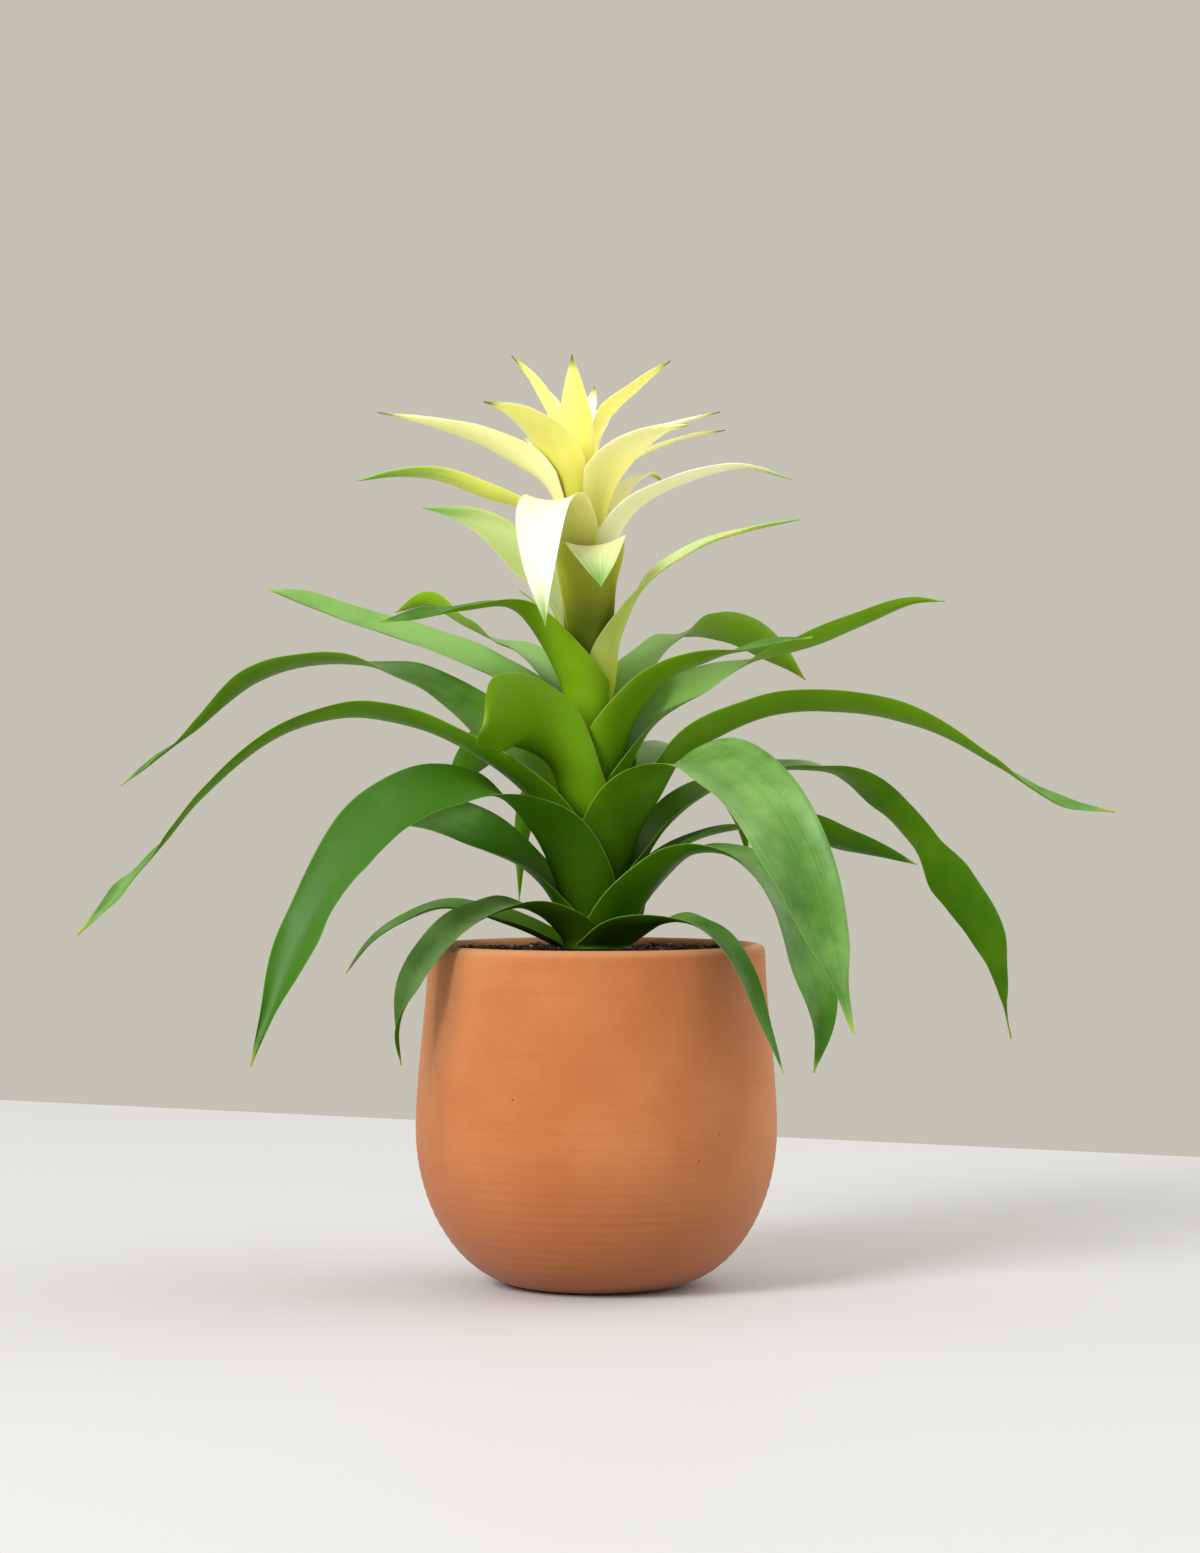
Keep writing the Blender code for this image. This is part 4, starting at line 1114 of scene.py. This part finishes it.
def settle(piece: bpy.types.Object, slot: str, *nodes: str) -> bpy.types.Object:
    """Let a finished piece ride on the part's body and stand for its solids.

    Args:
        piece: the finished piece.
        slot: its material slot; not used.
        nodes: the CAD nodes that it stands for.

    Returns:
        The piece.
    """
    LOG.info("%s: %d faces", piece.name, len(piece.data.polygons))
    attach(piece, BODY)
    if nodes:
        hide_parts(*nodes)
    return piece


@dataclass
class Foliage:
    """All blades of one kind on the stem: the leaves, or the bracts."""

    prefix: str
    blades: Sequence[Blade]
    growth: Growth
    finish: Finish
    slot: str
    seed: float = 0.0
    seed_step: float = 7.31
    ripple_pitch: float = 26.0 * MM

    def build(self, tool: BladeTool) -> list[bpy.types.Object]:
        """Grow every blade in its CAD solid's place.

        Args:
            tool: the blade tool.

        Returns:
            The pieces.
        """
        material = self.finish.build()
        pieces = []
        for number, blade in enumerate(self.blades, start=1):
            node = f"{self.prefix}_{number:02d}"
            seed = self.seed + self.seed_step * number
            rib = blade.rib_mesh(node, self.growth, seed, number / len(self.blades))
            piece = tool.run(node + "_blade", rib, {"Section points": self.growth.section_points,
                                                    "Ripple": blade.ripple * MM,
                                                    "Ripple pitch": self.ripple_pitch, "Seed": seed,
                                                    "Finish": material}, material)
            pieces.append(settle(piece, self.slot, node))
        return pieces


@dataclass
class BowlPot:
    """The thrown bowl pot.

    Faint throwing rings run round it, ring_depth deep and ring_pitch apart. They grow and fade over
    swell_length and crowd and spread over drift_length. Inside, they are weaker and set off by inner_shift.
    """

    height: float = field(default_factory=lambda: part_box("pot")[1].z)
    widest_radius: float = field(default_factory=lambda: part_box("pot")[1].x)
    widest_height: float = 61.0 * MM
    rim_radius: float = 65.3 * MM
    foot_radius: float = 26.0 * MM
    wall: float = 6.0 * MM
    floor: float = 8.0 * MM
    ring_depth: float = 0.10 * MM
    ring_pitch: float = 3.4 * MM
    swell_length: float = 19.0 * MM
    drift_length: float = 11.0 * MM
    drift: float = 1.7
    inner_rings: float = 0.8
    inner_shift: float = 5 * MM
    step: float = 0.85 * MM
    lip_steps: int = 14
    segments: int = 200
    wobble: float = 0.25 * MM
    wobble_scale: float = 22.0      # the wobble changes about every 45 mm

    def radius(self, height: float) -> float:
        """The outer radius: a quarter ellipse below the widest place, an eased neck above it.

        Args:
            height: the height above the foot.

        Returns:
            The radius.
        """
        if height < self.widest_height:
            rise = 1.0 - height / self.widest_height
            return self.foot_radius + (self.widest_radius - self.foot_radius) * math.sqrt(1.0 - rise * rise)
        neck = smoothstep((height - self.widest_height) / (self.height - self.widest_height))
        return self.widest_radius + (self.rim_radius - self.widest_radius) * neck

    def ring(self, height: float) -> float:
        """The throwing rings' rise or fall at a height.

        Args:
            height: the height above the foot.

        Returns:
            How far the wall stands out.
        """
        swell = 0.6 + 0.4 * math.sin(height / self.swell_length)
        drift = self.drift * math.sin(height / self.drift_length)
        return self.ring_depth * swell * math.sin(math.tau * height / self.ring_pitch + drift)

    def outline(self, bottom: float, top: float, inset: float, step: float) -> list[tuple[float, float]]:
        """Points up the wall, set in from the outside by inset, even along the wall.

        Args:
            bottom: the lowest height.
            top: the highest height.
            inset: how far inside the outer skin.
            step: the distance from point to point.

        Returns:
            (radius, height) from the bottom to the top.
        """
        fine = 600
        heights = [bottom + (top - bottom) * (index / fine) ** 2 for index in range(fine + 1)]
        path = [(self.radius(height) - inset, height) for height in heights]
        kept = [path[0]]
        for point in path[1:-1]:
            if math.dist(point, kept[-1]) >= step:
                kept.append(point)
        return kept + [path[-1]]

    def profile(self) -> list[tuple[float, float]]:
        """The whole section from the foot's centre, up the outside, over the lip and down the inside.

        Returns:
            (radius, height) of each point.
        """
        shoulder = self.height - 0.5 * self.wall
        outside = [(reach + self.ring(height), height)
                   for reach, height in self.outline(0.0, shoulder, 0.0, self.step)]
        lip_centre = self.radius(shoulder) - 0.5 * self.wall
        turns = [math.pi * step / self.lip_steps for step in range(1, self.lip_steps)]
        lip = [(lip_centre + 0.5 * self.wall * math.cos(turn), shoulder + 0.5 * self.wall * math.sin(turn))
               for turn in turns]
        inside = [(reach - self.inner_rings * self.ring(height + self.inner_shift), height)
                  for reach, height in self.outline(self.floor, shoulder, self.wall, 2.0 * self.step)][::-1]
        return [(0.0, 0.0), (0.5 * self.foot_radius, 0.0)] + outside + lip + inside + [(0.0, self.floor)]

    def build(self, tool: TurningTool, finish: Finish) -> bpy.types.Object:
        """Turn the pot.

        Args:
            tool: the turning tool.
            finish: the clay.

        Returns:
            The pot.
        """
        material = finish.build()
        line = line_mesh("pot_profile", [(reach, 0.0, height) for reach, height in self.profile()])
        piece = tool.run("pot_thrown", line, {"Segments": self.segments, "Wobble": self.wobble,
                                              "Wobble scale": self.wobble_scale, "Finish": material},
                         material)
        return settle(piece, "terracotta", "pot")


@dataclass
class MixBed:
    """The potting mix: a lumpy bed with bark, peat crumbs and perlite on it."""

    pot: BowlPot
    rings: int = 34
    segments: int = 120
    centre_radius: float = 2.0 * MM
    clearance: float = 0.3 * MM
    lump: float = 1.1 * MM
    lump_share: float = 0.3
    middle_drop: float = 1.5 * MM
    wall_top_drop: float = 3.0 * MM
    wall_step: float = 4.0 * MM

    @staticmethod
    def lumps(reach: float, angle: float) -> float:
        """The bed's unevenness: crossed waves about 10 mm long, and finer ones.

        Args:
            reach: the distance from the middle.
            angle: the angle round it.

        Returns:
            The rise or fall, about 1 at most.
        """
        broad = math.sin(reach * 610.0 + 2.1 * math.sin(3.0 * angle)) * math.sin(angle * 17.0 + reach * 240.0)
        return broad + 0.5 * math.sin(angle * 41.0 + reach * 900.0)

    def bed_mesh(self) -> bpy.types.Mesh:
        """A closed plug with a finely divided, lumpy top.

        Returns:
            The mesh.
        """
        shape = bmesh.new()
        rim = self.pot.radius(MIX_TOP) - self.pot.wall - self.clearance
        angles = [math.tau * segment / self.segments for segment in range(self.segments)]
        circles = []
        for ring in range(self.rings + 1):
            reach = self.centre_radius + (rim - self.centre_radius) * ring / self.rings
            drop = self.middle_drop * (1.0 - ring / self.rings) ** 0.5
            heights = [MIX_TOP - drop + self.lump_share * self.lump * self.lumps(reach, angle)
                       for angle in angles]
            circles.append([shape.verts.new((reach * math.cos(angle), reach * math.sin(angle), height))
                            for angle, height in zip(angles, heights)])
        wall = self.pot.outline(self.pot.floor + self.clearance, MIX_TOP - self.wall_top_drop,
                                self.pot.wall + self.clearance, self.wall_step)[::-1]
        for reach, height in wall:
            circles.append([shape.verts.new((reach * math.cos(angle), reach * math.sin(angle), height))
                            for angle in angles])
        for inner, outer in zip(circles, circles[1:]):
            for segment in range(self.segments):
                after = (segment + 1) % self.segments
                shape.faces.new((inner[segment], outer[segment], outer[after], inner[after]))
        shape.faces.new(circles[0])
        shape.faces.new(circles[-1][::-1])
        bmesh.ops.recalc_face_normals(shape, faces=shape.faces)
        mesh = bpy.data.meshes.new("mix_bed")
        shape.to_mesh(mesh)
        shape.free()
        mesh.shade_smooth()
        return mesh

    def build(self, tool: ScatterTool) -> list[bpy.types.Object]:
        """Make the bed and scatter the grains.

        Args:
            tool: the scatter tool.

        Returns:
            The bed and the three kinds of grain.
        """
        bed_mesh = self.bed_mesh()
        bed = bpy.data.objects.new("mix_bed", bed_mesh)
        bpy.context.scene.collection.objects.link(bed)
        bed.data.materials.append(Crumb("potting_mix_peat_damp", "#120C08", "#2E2018").build())
        pieces = [settle(bed, "potting_mix", "potting_mix")]
        kinds = (
            ("mix_bark", Crumb("potting_mix_bark_chipped", "#2A170D", "#7A4A2A", 700.0),
             {"Density": 60000.0, "Smallest": 0.7 * MM, "Largest": 1.9 * MM, "Length": 1.6, "Flatness": 0.45,
              "Lift": 0.2 * MM, "Seed": 3}),
            ("mix_peat", Crumb("potting_mix_crumb_peat", "#0E0906", "#2A1C13", 900.0),
             {"Density": 150000.0, "Smallest": 0.5 * MM, "Largest": 1.2 * MM, "Length": 1.2, "Flatness": 0.8,
              "Lift": 0.1 * MM, "Seed": 8}),
            ("mix_perlite", Crumb("potting_mix_perlite_expanded", "#8C7456", "#D2BE9C", 1200.0, 0.85),
             {"Density": 9000.0, "Smallest": 0.4 * MM, "Largest": 1.0 * MM, "Length": 1.1, "Flatness": 0.9,
              "Lift": 0.5 * MM, "Seed": 21}),
        )
        for name, finish, values in kinds:
            material = finish.build()
            source = bed_mesh.copy()
            piece = tool.run(name, source, {**values, "Finish": material}, material)
            pieces.append(settle(piece, "potting_mix"))
        return pieces


@dataclass(frozen=True)
class Lamp:
    """A square lamp of the studio: its place and side in metres, its power in watts."""

    name: str
    place: tuple[float, float, float]
    side: float
    power: float

    def hang(self, aim: Vector) -> None:
        """Hang the lamp.

        Args:
            aim: the point that it faces.
        """
        lamp = bpy.data.lights.new(self.name, "AREA")
        lamp.energy = self.power
        lamp.shape = "SQUARE"
        lamp.size = self.side
        holder = bpy.data.objects.new(self.name, lamp)
        holder.location = self.place
        holder.rotation_euler = (aim - Vector(self.place)).to_track_quat("-Z", "Y").to_euler()
        bpy.context.scene.collection.objects.link(holder)


# A soft key from the left front, a broad fill from the right, a weak lamp behind on the left, and a very weak
# one overhead.
LAMPS = (
    Lamp("key", (-2.10, -2.30, 1.96), 1.3, 122.0),
    Lamp("side", (1.95, 0.55, 1.30), 3.2, 46.0),
    Lamp("back", (-1.50, 1.00, 1.10), 1.0, 4.0),
    Lamp("overhead", (-0.20, -0.20, 1.40), 0.8, 0.8),
)


@dataclass
class Studio:
    """The table, the lights, the surroundings and the camera.

    Lengths are in metres; the lens and the sensor are in millimetres.
    """

    camera_place: tuple[float, float, float] = (1.36 * MM, -1.468, 196.8 * MM)
    lens: float = 87.76
    sensor: float = 36.0
    edge_left: tuple[float, float] = (-0.364, 0.835)
    edge_right: tuple[float, float] = (0.310, 0.490)
    table_reach: float = 2.6
    table_front: float = -4.0
    table_thickness: float = 0.03
    aim_height: float = 0.16
    surround: str = "#C5C1B4"

    def build(self) -> None:
        """Set everything up round the object."""
        self.table()
        self.lights()
        self.world()
        self.camera()

    def table(self) -> None:
        """A pale table top whose far edge runs askew behind the object."""
        (left_x, left_y), (right_x, right_y) = self.edge_left, self.edge_right
        slope = (right_y - left_y) / (right_x - left_x)
        reach = self.table_reach
        far = [(x, left_y + slope * (x - left_x)) for x in (-reach, reach)]
        near = [(reach, self.table_front), (-reach, self.table_front)]
        shape = bmesh.new()
        corners = [shape.verts.new((x, y, 0.0)) for x, y in far + near]
        top = shape.faces.new(corners)
        thick = bmesh.ops.extrude_face_region(shape, geom=[top])
        for vertex in (item for item in thick["geom"] if isinstance(item, bmesh.types.BMVert)):
            vertex.co.z -= self.table_thickness
        bmesh.ops.recalc_face_normals(shape, faces=shape.faces)
        mesh = bpy.data.meshes.new("table_top")
        shape.to_mesh(mesh)
        shape.free()
        mesh.materials.append(PaintedTable().build())
        top_object = bpy.data.objects.new("table_top", mesh)
        bpy.context.scene.collection.objects.link(top_object)

    def lights(self) -> None:
        """Hang the lamps, all facing the middle of the object."""
        aim = Vector((0.0, 0.0, self.aim_height))
        for lamp in LAMPS:
            lamp.hang(aim)

    def world(self) -> None:
        """Even warm grey surroundings, and a view transform that keeps the bracts' bright yellow."""
        world = bpy.data.worlds.new("studio")
        world.use_nodes = True
        background = world.node_tree.nodes["Background"]
        background.inputs["Color"].default_value = linear(self.surround)
        bpy.context.scene.world = world
        bpy.context.scene.view_settings.view_transform = "Standard"

    def camera(self) -> None:
        """A level camera in front of the object."""
        data = bpy.data.cameras.new("camera")
        data.lens = self.lens
        data.sensor_width = self.sensor
        data.clip_start = 0.05
        holder = bpy.data.objects.new("camera", data)
        holder.location = self.camera_place
        holder.rotation_euler = (math.radians(90.0), 0.0, 0.0)
        bpy.context.scene.collection.objects.link(holder)
        bpy.context.scene.camera = holder


def main() -> None:
    """Build every piece in order, and report."""
    Studio().build()
    blades = BladeTool()
    pot = BowlPot()
    pot.build(TurningTool(), ThrownTerracotta())
    MixBed(pot).build(ScatterTool())
    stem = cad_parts["stem"]
    stem.data.materials.clear()
    stem.data.materials.append(StalkSkin().build())
    LOG.info("stem: %d faces", len(stem.data.polygons))
    Foliage("leaf", LEAVES, LEAF_GROWTH, LivingLeaf(), "leaf_green").build(blades)
    Foliage("bract", BRACTS, BRACT_GROWTH, LivingBract(), "bract_yellow", seed=300.0).build(blades)


if __name__ == "__main__":
    main()
